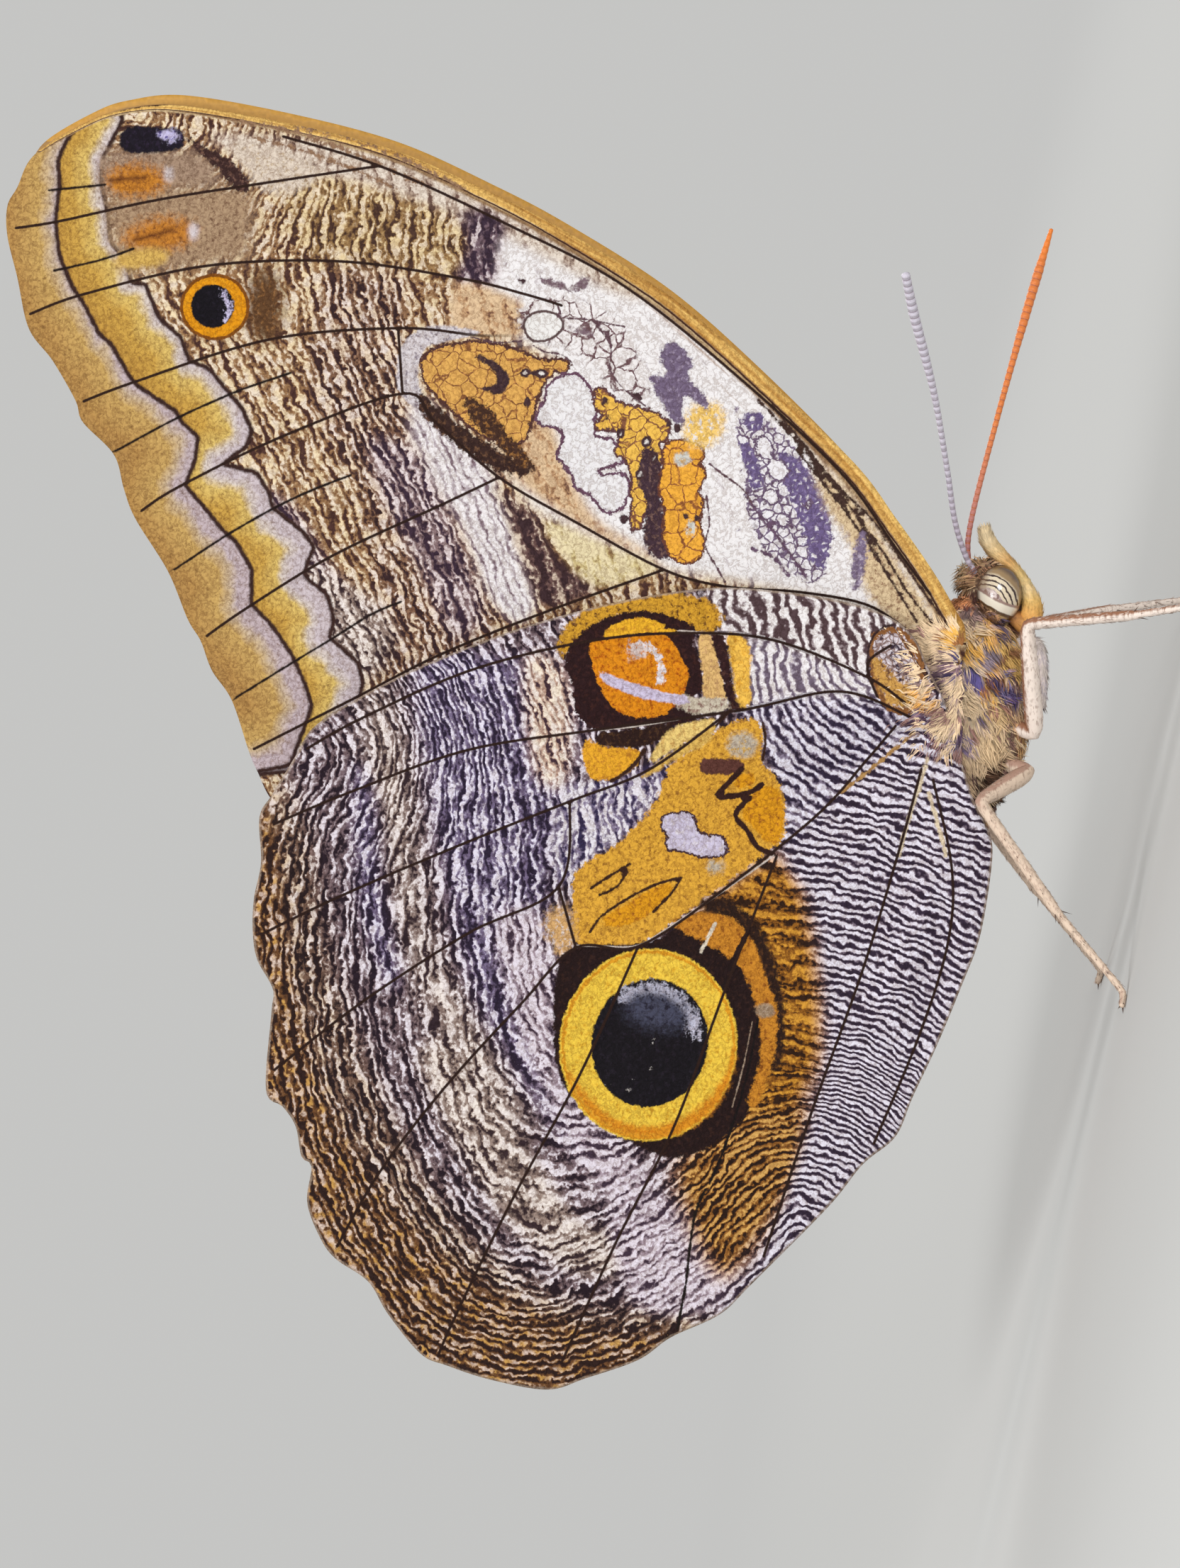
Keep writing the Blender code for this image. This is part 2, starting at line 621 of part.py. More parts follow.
def limb_path(joints, bend):
    """Straight runs between joints with each joint rounded."""
    path = [joints[0]]
    for before, joint, after in zip(joints, joints[1:], joints[2:]):
        arrive = joint + (before - joint).normalized() * bend
        leave = joint + (after - joint).normalized() * bend
        path.append(arrive)
        path.append(joint * 0.5 + (arrive + leave) * 0.25)
        path.append(leave)
    path.append(joints[-1])
    return path


def fill_run(start, end, parts):
    """Points that divide a straight run, without its two ends."""
    return [start.lerp(end, index / parts) for index in range(1, parts)]


def build_leg(name, side_name, side, insect, thorax_room):
    """A walking leg: hip, femur, tibia and beaded tarsus, flat where it meets the floor."""
    lead = LEG_LEAD[side_name]
    joints = [Vector((x, side * y, z)) for x, y, z in LEG_JOINTS[name]]
    joints[3].x += lead
    to_body = STANCE.inverted()
    for x, y in LEG_FOOT[name]:
        joints.append(to_body @ (Vector((x + lead, side * y, FOOT_HEIGHT)) * MM))
    rounded = limb_path(joints, KNEE_BEND)
    hip, hip_in, hip_mid, hip_out, knee_in, knee_mid, knee_out, ankle_in, ankle_mid, ankle_out, \
        heel_in, heel_mid, heel_out, toe = rounded
    path = [hip, hip_in, hip_mid, hip_out]
    radii = [HIP_RADIUS] * 4
    femur = fill_run(hip_out, knee_in, 4)
    path += femur + [knee_in, knee_mid, knee_out]
    radii += [FEMUR_RADIUS] * len(femur) + [TIBIA_RADIUS] * 3
    tibia = fill_run(knee_out, ankle_in, 3)
    path += tibia + [ankle_in, ankle_mid, ankle_out]
    radii += [TIBIA_RADIUS] * len(tibia) + [TIBIA_RADIUS, TIBIA_RADIUS * 0.9, TARSUS_RADIUS]
    tarsus = fill_run(ankle_out, heel_in, 8)
    path += tarsus + [heel_in, heel_mid, heel_out, toe]
    radii += [TARSUS_RADIUS + TARSUS_BEAD * (-1) ** index for index in range(len(tarsus))]
    radii += [TARSUS_RADIUS] * 4
    leg = tube(name + "_" + side_name, path, radii, insect)
    cut_away(leg, [thorax_room])
    finish_node(leg, material("leg", 0.7))
    for vert in leg.data.vertices:
        vert.co.z = max(vert.co.z, 0.0)


def build_legs(insect, thorax_room):
    """Four walking legs and the two short forelegs tucked under the thorax."""
    for side_name, side in (("right", -1), ("left", 1)):
        for name in LEG_JOINTS:
            build_leg(name, side_name, side, insect, thorax_room)
        path = smooth_path([(x, side * y, z) for x, y, z in FORELEG_ROUTE], PALP_STEP)
        radii = [value_at(FORELEG_RADII, share) for share in share_along(path)]
        foreleg = tube("foreleg_" + side_name, path, radii, insect)
        cut_away(foreleg, [thorax_room])
        finish_node(foreleg, material("leg", 0.7))


def build_wings(insect):
    """Right and left wings, the hindwings outside the forewings."""
    membrane = material("wing_upper", 0.6)
    for side_name, side, lead in (("right", -1, 0.0), ("left", 1, LEFT_FOREWING_LEAD_DEG)):
        build_wing("forewing_" + side_name, FOREWING_OUTLINE, FOREWING_VEINS, forewing_offset,
                   side, lead, membrane, insect)
        build_wing("hindwing_" + side_name, HINDWING_OUTLINE, HINDWING_VEINS, hindwing_offset,
                   side, 0.0, membrane, insect)


def main():
    for item in list(bpy.data.objects):
        bpy.data.objects.remove(item, do_unlink=True)
    insect = new_collection("owl_butterfly")
    cutters = new_collection("cutters")
    thorax_room, head_room = build_trunk(insect, cutters)
    build_mouth_and_feelers(insect, head_room, thorax_room)
    build_legs(insect, thorax_room)
    build_wings(insect)
    for cutter in cutters.objects:
        cutter.hide_render = True
        cutter.display_type = "WIRE"


main()
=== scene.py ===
"""The looks of the owl butterfly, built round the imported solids.

Shapes are drawn in the insect's own frame, in millimetres: the origin is the right
forewing's hinge seen from the side, +X points to the head, +Z to the back, and the right
side is -Y. STANCE carries that frame to the finished one, in metres. Wing markings are
placed by pixels of the 1664 x 2212 photograph, which spot() carries to the wing plane.
"""
import math

import bmesh
import bpy
import numpy as np
from mathutils import Matrix, Vector
from mathutils.geometry import delaunay_2d_cdt


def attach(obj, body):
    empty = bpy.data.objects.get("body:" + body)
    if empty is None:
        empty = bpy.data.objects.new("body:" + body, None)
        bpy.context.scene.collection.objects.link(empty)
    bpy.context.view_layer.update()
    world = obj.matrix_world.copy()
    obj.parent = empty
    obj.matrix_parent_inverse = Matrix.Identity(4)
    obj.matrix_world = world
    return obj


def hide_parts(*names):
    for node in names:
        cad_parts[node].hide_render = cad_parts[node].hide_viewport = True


MM = 0.001
SIDES = (("right", -1), ("left", 1))
PITCH_DEG = 13.4
STANCE = (Matrix.Translation(Vector((14.17, 0, 16.0)) * MM)
          @ Matrix.Rotation(math.radians(-PITCH_DEG), 4, "Y")
          @ Matrix.Scale(MM, 4))

# Camera: it looks along +Y with its upright turned forward, as the photograph hangs
CAMERA_AT = Vector((-1.95, -450.0, 39.3)) * MM
CAMERA_TURN_DEG = 90 - PITCH_DEG
CAMERA_LENS = 146.5
CAMERA_SENSOR = 36.0

# Floor radius and fade in metres, colours, and each light's name, place, target, size and power
FLOOR_RADIUS = 6.0
FLOOR_FADE = (0.05, 0.5)
SURROUND = (0.56, 0.56, 0.55)
FLOOR_ALBEDO = (0.55, 0.55, 0.54)
LIGHTS = [
    ("key", (-120, -380, 360), (0, 0, 40), 160, 0.85),
    ("fill", (170, -430, 95), (10, 0, 25), 150, 0.85),
    ("back", (120, 420, 330), (0, 0, 40), 260, 0.8),
    ("top", (0, 0, 520), (0, 0, 20), 300, 0.5),
]

# The photograph's pixels on the wing plane
PHOTO_HINGE = (1360.0, 900.0)
PHOTO_PER_MM = 20.0

# Body solids that the wings bend round, and the closed wings' distance from the mid plane
THORAX_CENTRE = np.array((-4.5, 0, -0.4))
THORAX_HALF = np.array((7.8, 3.7, 4.4))
ABDOMEN_START = np.array((-10.5, 0, -0.1))
ABDOMEN_TILT_DEG = 17
ABDOMEN_LENGTH = 21.5
ABDOMEN_RADIUS = 2.75
ABDOMEN_WIDEST = 8.0
GAP = 0.3
PLATE_HALF = 0.4
LAYER_STEP = 1.1
WING_TIP_OFFSET = 0.55
FOREWING_ROOT_OFFSET = 3.95
HINDWING_TIP_OFFSET = 0.7
HINDWING_ROOT_OFFSET = 3.9
FOLD_HEIGHT = 9.0
FOLD_POWER = 1.2
FOLD_BLEND = 0.2
LEFT_FOREWING_LEAD_DEG = 0.9
INNER_MARGIN_START = -2.2
INNER_MARGIN_SLOPE = -0.18
LAYER_EASE = 1.0
LAYER_REACH_ROOT = 2.0
LAYER_REACH_SLOPE = 0.35

# The body's skin: its parts lie a little inside the solids, and hairs fill the room
HEAD_CENTRE = np.array((3.3, 0, -2.1))
HEAD_HALF = np.array((2.7, 2.0, 2.5))
EYE_CENTRE = np.array((3.1, 1.35, -2.4))
EYE_HALF = np.array((2.0, 1.6, 1.6))
EYE_ARC_CENTRE = (2.1, -1.2)
EYE_CRESCENT = (-0.809, 0.588, 3.245)
THORAX_COAT = 0.5
HEAD_COAT = 0.35
ABDOMEN_COAT = 0.25
SKIN_BLEND = 0.35
SKIN_SIDES = 72
SKIN_STATIONS = 170
BODY_SPINE = [
    (6.2, 0, -2.6), (3.3, 0, -2.1), (0.4, 0, -1.2), (-4.5, 0, -0.4), (-10.5, 0, -0.1), (-20.5, 0, 2.96),
    (-31.2, 0, 6.24),
]
ABDOMEN_RINGS = 7
COAT_TUFTS = 19000
COAT_LOCKS = 1500
# These two lighten and warm the hairs past the skin's colours: painted light that makes up for the shade
# the tufts cast on each other.
COAT_LIFT = 0.85
COAT_WARMTH_AND_LIGHT = np.array((1.6, 1.46, 1.3))
COAT_SHADED = np.array((0.3, 0.22, 0.3))
SHADED_SHARE = 0.16
LOCK_SPREAD = 0.42
LOCK_GATHER = 0.3
TUFT_SPREAD = 0.13
TUFT_TURNS = (0, 2.1, 4.2)
ROOT_DEPTH = 0.08
EYE_CLEARANCE = 0.12
MAP_INSET = 0.002
MAP_PATCH = 0.0015
MAP_PATCH_UPPER = 0.0008
SHOULDER_TUFTS = 3200
SHOULDER_LOCKS = 260
SHOULDER_EDGE = 1352
SHOULDER_REACH = 34
SHOULDER_SPAN = (892, 1062)
SHOULDER_LOW = 1020
SHOULDER_CENTRE = (-2.0, -1.0)
PALP_HAIRS = 1500
LEG_HAIRS = 900
FORELEG_HAIRS = 700
COAT_SEED = 11
LASH_SEED = 53
SHOULDER_SEED = 71
LASH_TRIES = 9000
LASH_LOCKS = 90
EYE_RINGS = 30
EYE_SIDES = 44

# Feelers, mouth parts and legs
ANTENNA_ROUTES = {
    "right": [(4.4, -0.7, -0.9), (5.6, -1.0, -0.1), (8.1, -2.4, 0.8), (11.8, -4.6, 1.5),
        (16.9, -7.9, 2.6), (21.9, -11.2, 4.1), (24.6, -13.2, 4.8)],
    "left": [(4.4, 0.7, -0.9), (5.8, 0.9, -0.3), (8.6, 1.4, -0.6), (15.3, 3.2, -2.4), (23.3, 5.2, -4.7),
        (29.4, 6.6, -6.6)],
}
ANTENNA_RADII = {"right": [0.22, 0.2, 0.2, 0.2, 0.21, 0.25, 0.33, 0.36, 0.3],
                 "left": [0.22, 0.2, 0.2, 0.2, 0.21, 0.24, 0.32, 0.34, 0.14]}
PALP_ROUTE = [
    (1.6, 1.0, -3.3), (1.0, 1.15, -4.25), (2.0, 1.25, -4.7), (3.1, 1.25, -4.45), (4.2, 1.2, -3.9),
    (5.1, 1.1, -3.2), (5.8, 1.0, -2.5), (6.6, 0.95, -1.8), (7.3, 0.9, -1.5), (7.75, 0.85, -1.4),
]
PALP_RADII = [0.5, 0.68, 0.78, 0.62, 0.45, 0.38, 0.4, 0.5, 0.5, 0.34]
TONGUE_CENTRE = (3.1, -4.45)
TONGUE_TURNS = 1.05
TONGUE_OUTER = 0.74
TONGUE_INNER = 0.28
TONGUE_RADII = [0.16, 0.16, 0.1]
LEG_JOINTS = {
    "midleg": [(-6.0, 1.4, -2.8), (-6.8, 2.3, -4.8), (0.9, 4.4, -4.1), (1.4, 8.8, -11.2)],
    "hindleg": [(-8.6, 1.2, -2.0), (-9.4, 2.4, -4.4), (-11.5, 5.6, -0.7), (-19.0, 8.2, -5.8)],
}
LEG_FOOT = {"midleg": [(20.2, 12.8), (20.6, 14.0)], "hindleg": [(-7.4, 10.8), (-8.3, 11.8)]}
LEG_LEAD = {"right": 0.0, "left": 0.9}
LEG_RADII = [0.5, 0.56, 0.68, 0.64, 0.5, 0.42, 0.42, 0.4, 0.36, 0.27, 0.23, 0.2]
FOOT_HEIGHT = 0.24
KNEE_BEND = 0.35
LIMB_SIDES = 16
FEELER_SIDES = 12
FEELER_RING = 0.52
TOE_BEAD = 1.3
FORELEG_ROUTE = [
    (-0.6, 0.9, -3.0), (-0.3, 0.95, -4.7), (-0.9, 0.95, -5.25), (-2.8, 0.95, -5.4), (-4.9, 0.9, -5.4),
]
FORELEG_RADII = [0.38, 0.4, 0.4, 0.34, 0.22]

# Body markings: side view pixels of an oval, its half sizes and turn, softness in mm, colour
BODY_BASE = (232, 208, 174)
BELLY_TAN = (176, 138, 92)
BODY_MARKS = [
    (1360, 800, 34, 34, 0, 0.5, (186, 150, 112)),
    (1336, 824, 20, 8, 20, 0.25, (76, 52, 46)),
    (1345, 790, 16, 10, 30, 0.25, (226, 206, 168)),
    (1352, 850, 26, 14, 10, 0.3, (196, 128, 84)),
    (1395, 775, 20, 16, 0, 0.3, (92, 62, 36)),
    (1368, 868, 22, 12, 0, 0.25, (128, 104, 104)),
    (1408, 838, 38, 46, 0, 0.15, (92, 64, 46)),
    (1350, 803, 15, 12, 30, 0.2, (242, 224, 182)),
    (1395, 880, 12, 14, 30, 0.25, (228, 172, 92)),
    (1408, 892, 12, 24, -25, 0.25, (70, 62, 92)),
    (1428, 905, 12, 30, -14, 0.3, (216, 178, 118)),
    (1382, 896, 13, 10, 0, 0.2, (246, 188, 84)),
    (1357, 910, 14, 12, 10, 0.2, (246, 186, 78)),
    (1340, 940, 11, 16, 0, 0.3, (96, 74, 92)),
    (1310, 1075, 34, 18, 0, 0.4, (156, 128, 106)),
    (1386, 924, 16, 26, -30, 0.3, (104, 94, 112)),
    (1418, 925, 18, 30, -10, 0.3, (240, 196, 112)),
    (1366, 955, 11, 22, -22, 0.2, (62, 56, 112)),
    (1388, 958, 8, 30, 6, 0.2, (246, 186, 86)),
    (1405, 965, 15, 22, -30, 0.3, (84, 80, 128)),
    (1416, 983, 14, 14, 0, 0.2, (74, 60, 118)),
    (1330, 965, 14, 24, -20, 0.25, (70, 50, 78)),
    (1302, 985, 18, 10, 0, 0.25, (224, 162, 74)),
    (1304, 1003, 12, 16, 0, 0.25, (84, 66, 92)),
    (1395, 1000, 26, 14, 0, 0.35, (222, 190, 140)),
    (1372, 1010, 14, 6, 20, 0.2, (76, 64, 92)),
    (1420, 1016, 9, 12, -20, 0.3, (112, 82, 76)),
    (1440, 1035, 14, 34, -16, 0.35, (232, 184, 124)),
    (1352, 1036, 10, 16, -5, 0.2, (104, 92, 128)),
    (1388, 1040, 22, 22, 0, 0.4, (220, 194, 156)),
    (1312, 1048, 14, 20, 10, 0.3, (86, 62, 84)),
    (1340, 1090, 26, 14, 0, 0.4, (190, 164, 138)),
    (1402, 1102, 34, 26, 25, 0.35, (60, 40, 28)),
]

# Fine wing sheet
SHEET_HALF = 0.07
SHEET_VEIN_RISE = 0.09
SHEET_VEIN_HALF = 0.2
SHEET_BELLY = 0.10
FIELD_STEP = 0.42
RIM_STEP = 0.35
LINE_STEP = 0.4
STROKE_CLEARANCE = 0.14
OUTER_MAP_TOP = 0.74
INNER_MAP = (0.76, 0.97)
RIM_MAP = (0.98, 0.995)
CURVE_PARTS = 12
LINE_TO_RIM = 0.3
ROW_SHARE = 0.866
MERGE_DISTANCE = 1e-5
BELLY_REACH = 3.0
MARK_STEP = 0.5
DEEPEST = 20.0

# Ripples: periods in mm, and where those of the margin's sides join and are eased
FINE_PERIOD = 0.56
MAJOR_PERIOD = 1.22
MARGIN_STEP = 0.8
JOIN_SHARPNESS = 0.35
JOIN_SPAN = (9, 13)
EASE_SPAN = (6.0, 16.0)

# The hindwing's front cells in pixels: leaning stripes that narrow outwards, and arcs near the base
FRONT_FROM_U = 990
STRIPE_LEAN = 0.25
STRIPE_START = (1010, 870)
STRIPE_WIDEST = 25
STRIPE_NARROWING = 11 / 240
STRIPE_LIMITS = (12, 28)
STRIPE_FACTOR = 21.8
FRONT_CORNERS = [(10, 60), (10, -5), (-4.6, -5)]
ARC_CENTRE = (1290, 925)
ARC_SQUASH = 1.2
ARC_PERIOD = 0.72
ARC_SPAN = (1030, 1240)

FOREWING_OUTLINE = [
    (0.5, 0.2), (1.8, 0.8), (4.6, 2.4), (8.4, 5.0), (12.3, 7.9), (18.8, 14.6), (24.3, 21.1), (28.8, 28.4),
    (31.5, 33.7), (34.4, 40.4), (36.3, 48.0), (37.5, 55.5), (37.1, 59.5), (36.2, 62.0), (34.0, 65.5),
    (31.7, 66.7), (30.4, 67.4), (28.3, 67.4), (25.4, 66.7), (21.8, 65.9), (19.5, 64.2), (16.7, 62.6),
    (15.2, 62.1), (12.9, 59.9), (10.5, 59.2), (8.4, 58.4), (4.7, 56.1), (1.3, 54.7), (-0.2, 53.8),
    (-2.3, 53.0), (-4.4, 51.6), (-8.0, 50.4), (-9.4, 49.8), (-11.6, 48.6), (-13.0, 46.0), (-12.2, 40.0),
    (-10.0, 33.0), (-6.6, 20.0), (-4.0, 8.0), (-2.9, 2.4), (-1.6, 0.4),
]
FOREWING_VEINS = {
    "subcosta": [(3.0, 2.6), (6.3, 5.0), (11.7, 8.9), (18.8, 16.5), (24.9, 24.2), (29.0, 32.0),
        (33.1, 40.9), (35.3, 48.0)],
    "radius": [(1.9, 3.0), (6.2, 8.0), (12.6, 16.0), (17.6, 23.0), (20.9, 30.1), (21.3, 34.4),
        (21.8, 39.9), (21.0, 49.0), (18.0, 58.5), (16.5, 62.4)],
    "radial_fork": [(23.4, 28.4), (24.2, 31.0), (25.3, 35.5), (26.5, 43.9), (26.2, 53.3), (24.2, 62.0),
        (22.8, 65.8)],
    "apical": [(33.2, 41.4), (31.9, 50.1), (30.8, 57.0), (29.3, 63.9), (28.8, 67.2)],
    "cell_end": [(21.8, 39.9), (17.2, 39.6)],
    "cubitus": [(0.5, 4.2), (2.3, 7.0), (3.2, 11.6), (3.6, 16.8), (4.8, 21.2), (8.2, 27.5), (11.3, 32.8),
        (15.2, 37.3), (17.2, 39.6), (14.2, 48.0), (10.6, 55.4), (8.7, 58.3)],
    "cubital_fork_upper": [(11.3, 32.8), (9.3, 37.0), (5.8, 44.5), (2.2, 50.4), (-0.1, 53.7)],
    "cubital_fork_lower": [(4.8, 21.2), (1.8, 29.6), (-1.2, 37.0), (-4.1, 42.7), (-8.0, 50.4)],
    "anal": [(-1.6, 2.6), (-2.2, 12.0), (-5.8, 25.0), (-9.6, 38.0), (-11.6, 46.0)],
}
HINDWING_OUTLINE = [
    (0.0, 3.8), (1.6, 5.9), (2.8, 10.2), (3.5, 16.6), (3.0, 21.8), (2.0, 26.6), (0.5, 31.8), (-1.9, 38.0),
    (-4.2, 42.6), (-6.3, 45.8), (-8.2, 47.0), (-11.0, 48.7), (-12.6, 49.6), (-15.8, 49.5), (-18.3, 50.0),
    (-20.6, 50.1), (-22.6, 49.8), (-24.7, 48.7), (-26.3, 48.8), (-31.8, 49.2), (-33.0, 48.0),
    (-34.4, 47.1), (-36.5, 46.7), (-37.2, 46.0), (-39.7, 46.3), (-42.2, 45.4), (-43.7, 44.3),
    (-45.3, 42.0), (-47.6, 40.6), (-50.4, 38.3), (-51.2, 36.5), (-52.2, 33.4), (-52.9, 29.4),
    (-52.1, 26.7), (-50.8, 23.0), (-49.2, 20.7), (-47.6, 17.3), (-45.5, 15.1), (-40.0, 9.7), (-37.0, 7.3),
    (-35.0, 5.0), (-32.2, 3.8), (-28.5, 2.1), (-24.3, 0.4), (-20.7, -0.9), (-15.5, -1.7), (-13.4, -1.4),
    (-11.4, -0.4), (-8.5, 0.5), (-5.0, 1.5), (-2.2, 2.8),
]
HINDWING_VEINS = {
    "subcosta": [(-4.6, 4.4), (-2.8, 7.0), (-0.4, 12.8), (0.3, 17.9), (-0.1, 25.5), (-2.2, 34.5),
        (-5.7, 42.5), (-8.0, 46.6)],
    "humeral": [(-0.6, 5.4), (-1.9, 7.0), (-4.2, 6.3)],
    "radius": [(-5.6, 4.0), (-3.8, 8.9), (-5.1, 15.8), (-6.5, 26.1), (-7.9, 35.0), (-10.8, 43.1),
        (-13.1, 48.6)],
    "media_upper": [(-5.5, 17.0), (-9.3, 22.3), (-11.5, 27.8), (-14.6, 35.6), (-18.1, 43.8),
        (-21.0, 49.8)],
    "media_lower": [(-11.5, 27.8), (-17.5, 28.6), (-20.8, 35.0), (-25.6, 42.4), (-30.4, 48.6)],
    "cubitus": [(-6.2, 5.0), (-8.6, 7.0), (-12.5, 10.5), (-17.7, 17.0), (-21.7, 23.0), (-21.8, 27.4),
        (-25.7, 31.2), (-31.5, 36.5), (-37.6, 41.2), (-43.2, 44.4)],
    "cell_end": [(-17.5, 28.6), (-21.8, 27.4)],
    "cubital_fork_upper": [(-21.7, 23.0), (-30.7, 27.1), (-39.4, 31.8), (-48.0, 36.0), (-51.3, 37.4)],
    "cubital_fork_lower": [(-15.4, 13.3), (-25.0, 17.0), (-34.4, 20.5), (-42.6, 24.6), (-51.0, 28.4)],
    "anal_upper": [(-9.2, 3.2), (-14.4, 4.6), (-23.4, 7.3), (-33.5, 10.9), (-43.5, 14.2)],
    "anal_lower": [(-10.0, 2.4), (-16.3, 1.1), (-21.5, 1.4), (-28.0, 3.4), (-35.5, 6.5)],
}

# Outer margins that the ripples run along, from the apex to the lower corner
FOREWING_MARGIN = [
    (37.0, 58.0), (36.2, 62.0), (33.0, 66.3), (28.3, 67.4), (21.8, 65.6), (15.2, 61.9), (8.4, 58.2),
    (1.3, 54.6), (-4.4, 51.6), (-13.0, 47.0),
]
HINDWING_MARGIN = [
    (-8.2, 47.0), (-13.5, 49.3), (-22.0, 50.0), (-31.0, 49.0), (-38.5, 46.4), (-45.5, 42.6),
    (-50.6, 37.6), (-52.8, 30.0), (-51.0, 23.4), (-47.0, 16.6), (-42.0, 11.5),
]

# The forewing's front edge, and how its golden band narrows along +Z
FOREWING_COSTA = FOREWING_OUTLINE[:12] + [(37.2, 59.4), (36.2, 62.0), (34.3, 65.2)]
COSTA_NARROWING = ((0, 12, 25, 40, 56, 66), (0.95, 0.95, 0.8, 0.52, 0.34, 0.1))

# Where the inked line of the forewing's radius begins, along +Z
RADIUS_INKED = (30.0, 36.0)


def run_lengths(path):
    """How far along a path each of its points lies."""
    return np.concatenate([[0.0], np.cumsum(np.linalg.norm(np.diff(path, axis=0), axis=1))])


def unit_rows(vectors):
    return vectors / np.linalg.norm(vectors, axis=1)[:, None]


def headings(path):
    """The unit direction of a path at each of its points."""
    return unit_rows(np.gradient(path, axis=0))


def smooth_path(points, step, closed=False):
    """Points about a step apart on a smooth curve through the control points."""
    controls = np.array(points, float)
    count = len(controls)
    dense = []
    for index in range(count if closed else count - 1):
        picked = [index + shift for shift in (-1, 0, 1, 2)]
        if closed:
            picked = [place % count for place in picked]
        else:
            picked = [min(max(place, 0), count - 1) for place in picked]
        before, start, end, after = controls[picked]
        for f in np.arange(CURVE_PARTS) / CURVE_PARTS:
            bend = (2 * before - 5 * start + 4 * end - after) * f
            twist = (3 * start - before - 3 * end + after) * f * f
            dense.append(start + 0.5 * f * ((end - before) + bend + twist))
    dense.append(controls[0] if closed else controls[-1])
    dense = np.array(dense)
    lengths = run_lengths(dense)
    parts = max(2, round(lengths[-1] / step))
    wanted = lengths[-1] * np.arange(parts if closed else parts + 1) / parts
    return np.stack([np.interp(wanted, lengths, column) for column in dense.T], axis=1)


def ramp(low, high, value):
    """0 below low, 1 above high and an eased ramp between."""
    share = np.clip((value - low) / (high - low), 0.0, 1.0)
    return share * share * (3 - 2 * share)


def line_distance(points, line):
    """The distance from each point to an open line."""
    nearest = np.full(len(points), np.inf)
    for start, end in zip(line[:-1], line[1:]):
        span = end - start
        share = np.clip((points - start) @ span / max(span @ span, 1e-12), 0, 1)
        offset = points - start - share[:, None] * span
        nearest = np.minimum(nearest, np.einsum("ij,ij->i", offset, offset))
    return np.sqrt(nearest)


def is_inside(points, loop):
    """Which points lie inside a closed loop."""
    inside = np.zeros(len(points), bool)
    for start, end in zip(loop, np.roll(loop, -1, axis=0)):
        if start[1] == end[1]:
            continue
        crosses = (start[1] > points[:, 1]) != (end[1] > points[:, 1])
        place = start[0] + (points[:, 1] - start[1]) / (end[1] - start[1]) * (end[0] - start[0])
        inside ^= crosses & (points[:, 0] < place)
    return inside


def loop_depth(points, loop):
    """How deep each point lies inside a closed loop, negative outside."""
    distance = line_distance(points, np.vstack([loop, loop[:1]]))
    return np.where(is_inside(points, loop), distance, -distance)


def spot(u, v):
    """A pixel of the photograph as a place on the wing plane, in millimetres."""
    return ((PHOTO_HINGE[1] - v) / PHOTO_PER_MM, (PHOTO_HINGE[0] - u) / PHOTO_PER_MM)


def spots(pixels):
    return np.array([spot(u, v) for u, v in pixels])


def oval(u, v, half_u, half_v, turn_deg=0.0):
    """Pixels of an upright or turned oval."""
    turn = math.radians(turn_deg)
    pixels = []
    for angle in np.linspace(0, 2 * math.pi, 20, endpoint=False):
        a = half_u * math.cos(angle)
        b = half_v * math.sin(angle)
        pixels.append((u + a * math.cos(turn) - b * math.sin(turn),
                       v + a * math.sin(turn) + b * math.cos(turn)))
    return pixels


def thorax_half_width(x, z):
    along = (x - THORAX_CENTRE[0]) / THORAX_HALF[0]
    up = (z - THORAX_CENTRE[2]) / THORAX_HALF[2]
    return THORAX_HALF[1] * np.sqrt(np.maximum(0.0, 1 - along ** 2 - up ** 2))


def abdomen_radius(along):
    front = ABDOMEN_RADIUS * (1 - 0.22 * (1 - along / ABDOMEN_WIDEST) ** 2)
    share = np.clip((along - ABDOMEN_WIDEST) / (ABDOMEN_LENGTH - ABDOMEN_WIDEST), 0, 1)
    rear = ABDOMEN_RADIUS * np.sqrt(1 - share ** 2.4)
    radius = np.where(along < ABDOMEN_WIDEST, front, rear)
    return np.where((along < 0) | (along > ABDOMEN_LENGTH), 0.0, radius)


def abdomen_half_width(x, z):
    tilt = math.radians(ABDOMEN_TILT_DEG)
    dx = x - ABDOMEN_START[0]
    dz = z - ABDOMEN_START[2]
    along = -dx * math.cos(tilt) + dz * math.sin(tilt)
    across = dx * math.sin(tilt) + dz * math.cos(tilt)
    return np.sqrt(np.maximum(0.0, abdomen_radius(along) ** 2 - across ** 2))


def folded_offset(x, z, tip_offset, root_offset):
    """How far a closed wing's middle stands from the insect's mid plane."""
    height = np.maximum(z, 0.0) / FOLD_HEIGHT
    fold = tip_offset + (root_offset - tip_offset) * np.exp(-height ** FOLD_POWER)
    body = np.maximum(thorax_half_width(x, z), abdomen_half_width(x, z)) + GAP + PLATE_HALF
    return 0.5 * (fold + body + np.sqrt((fold - body) ** 2 + FOLD_BLEND ** 2))


def forewing_offset(x, z):
    return folded_offset(x, z, WING_TIP_OFFSET, FOREWING_ROOT_OFFSET)


def hindwing_offset(x, z):
    """The hindwing lies outside the forewing and settles inwards where that one ends."""
    own = folded_offset(x, z, HINDWING_TIP_OFFSET, HINDWING_ROOT_OFFSET)
    over = forewing_offset(x, z) + LAYER_STEP
    edge = INNER_MARGIN_START + INNER_MARGIN_SLOPE * z - LAYER_EASE
    reach = LAYER_REACH_ROOT + LAYER_REACH_SLOPE * np.maximum(z, 0.0)
    return own + (over - own) * ramp(edge - reach, edge, x)


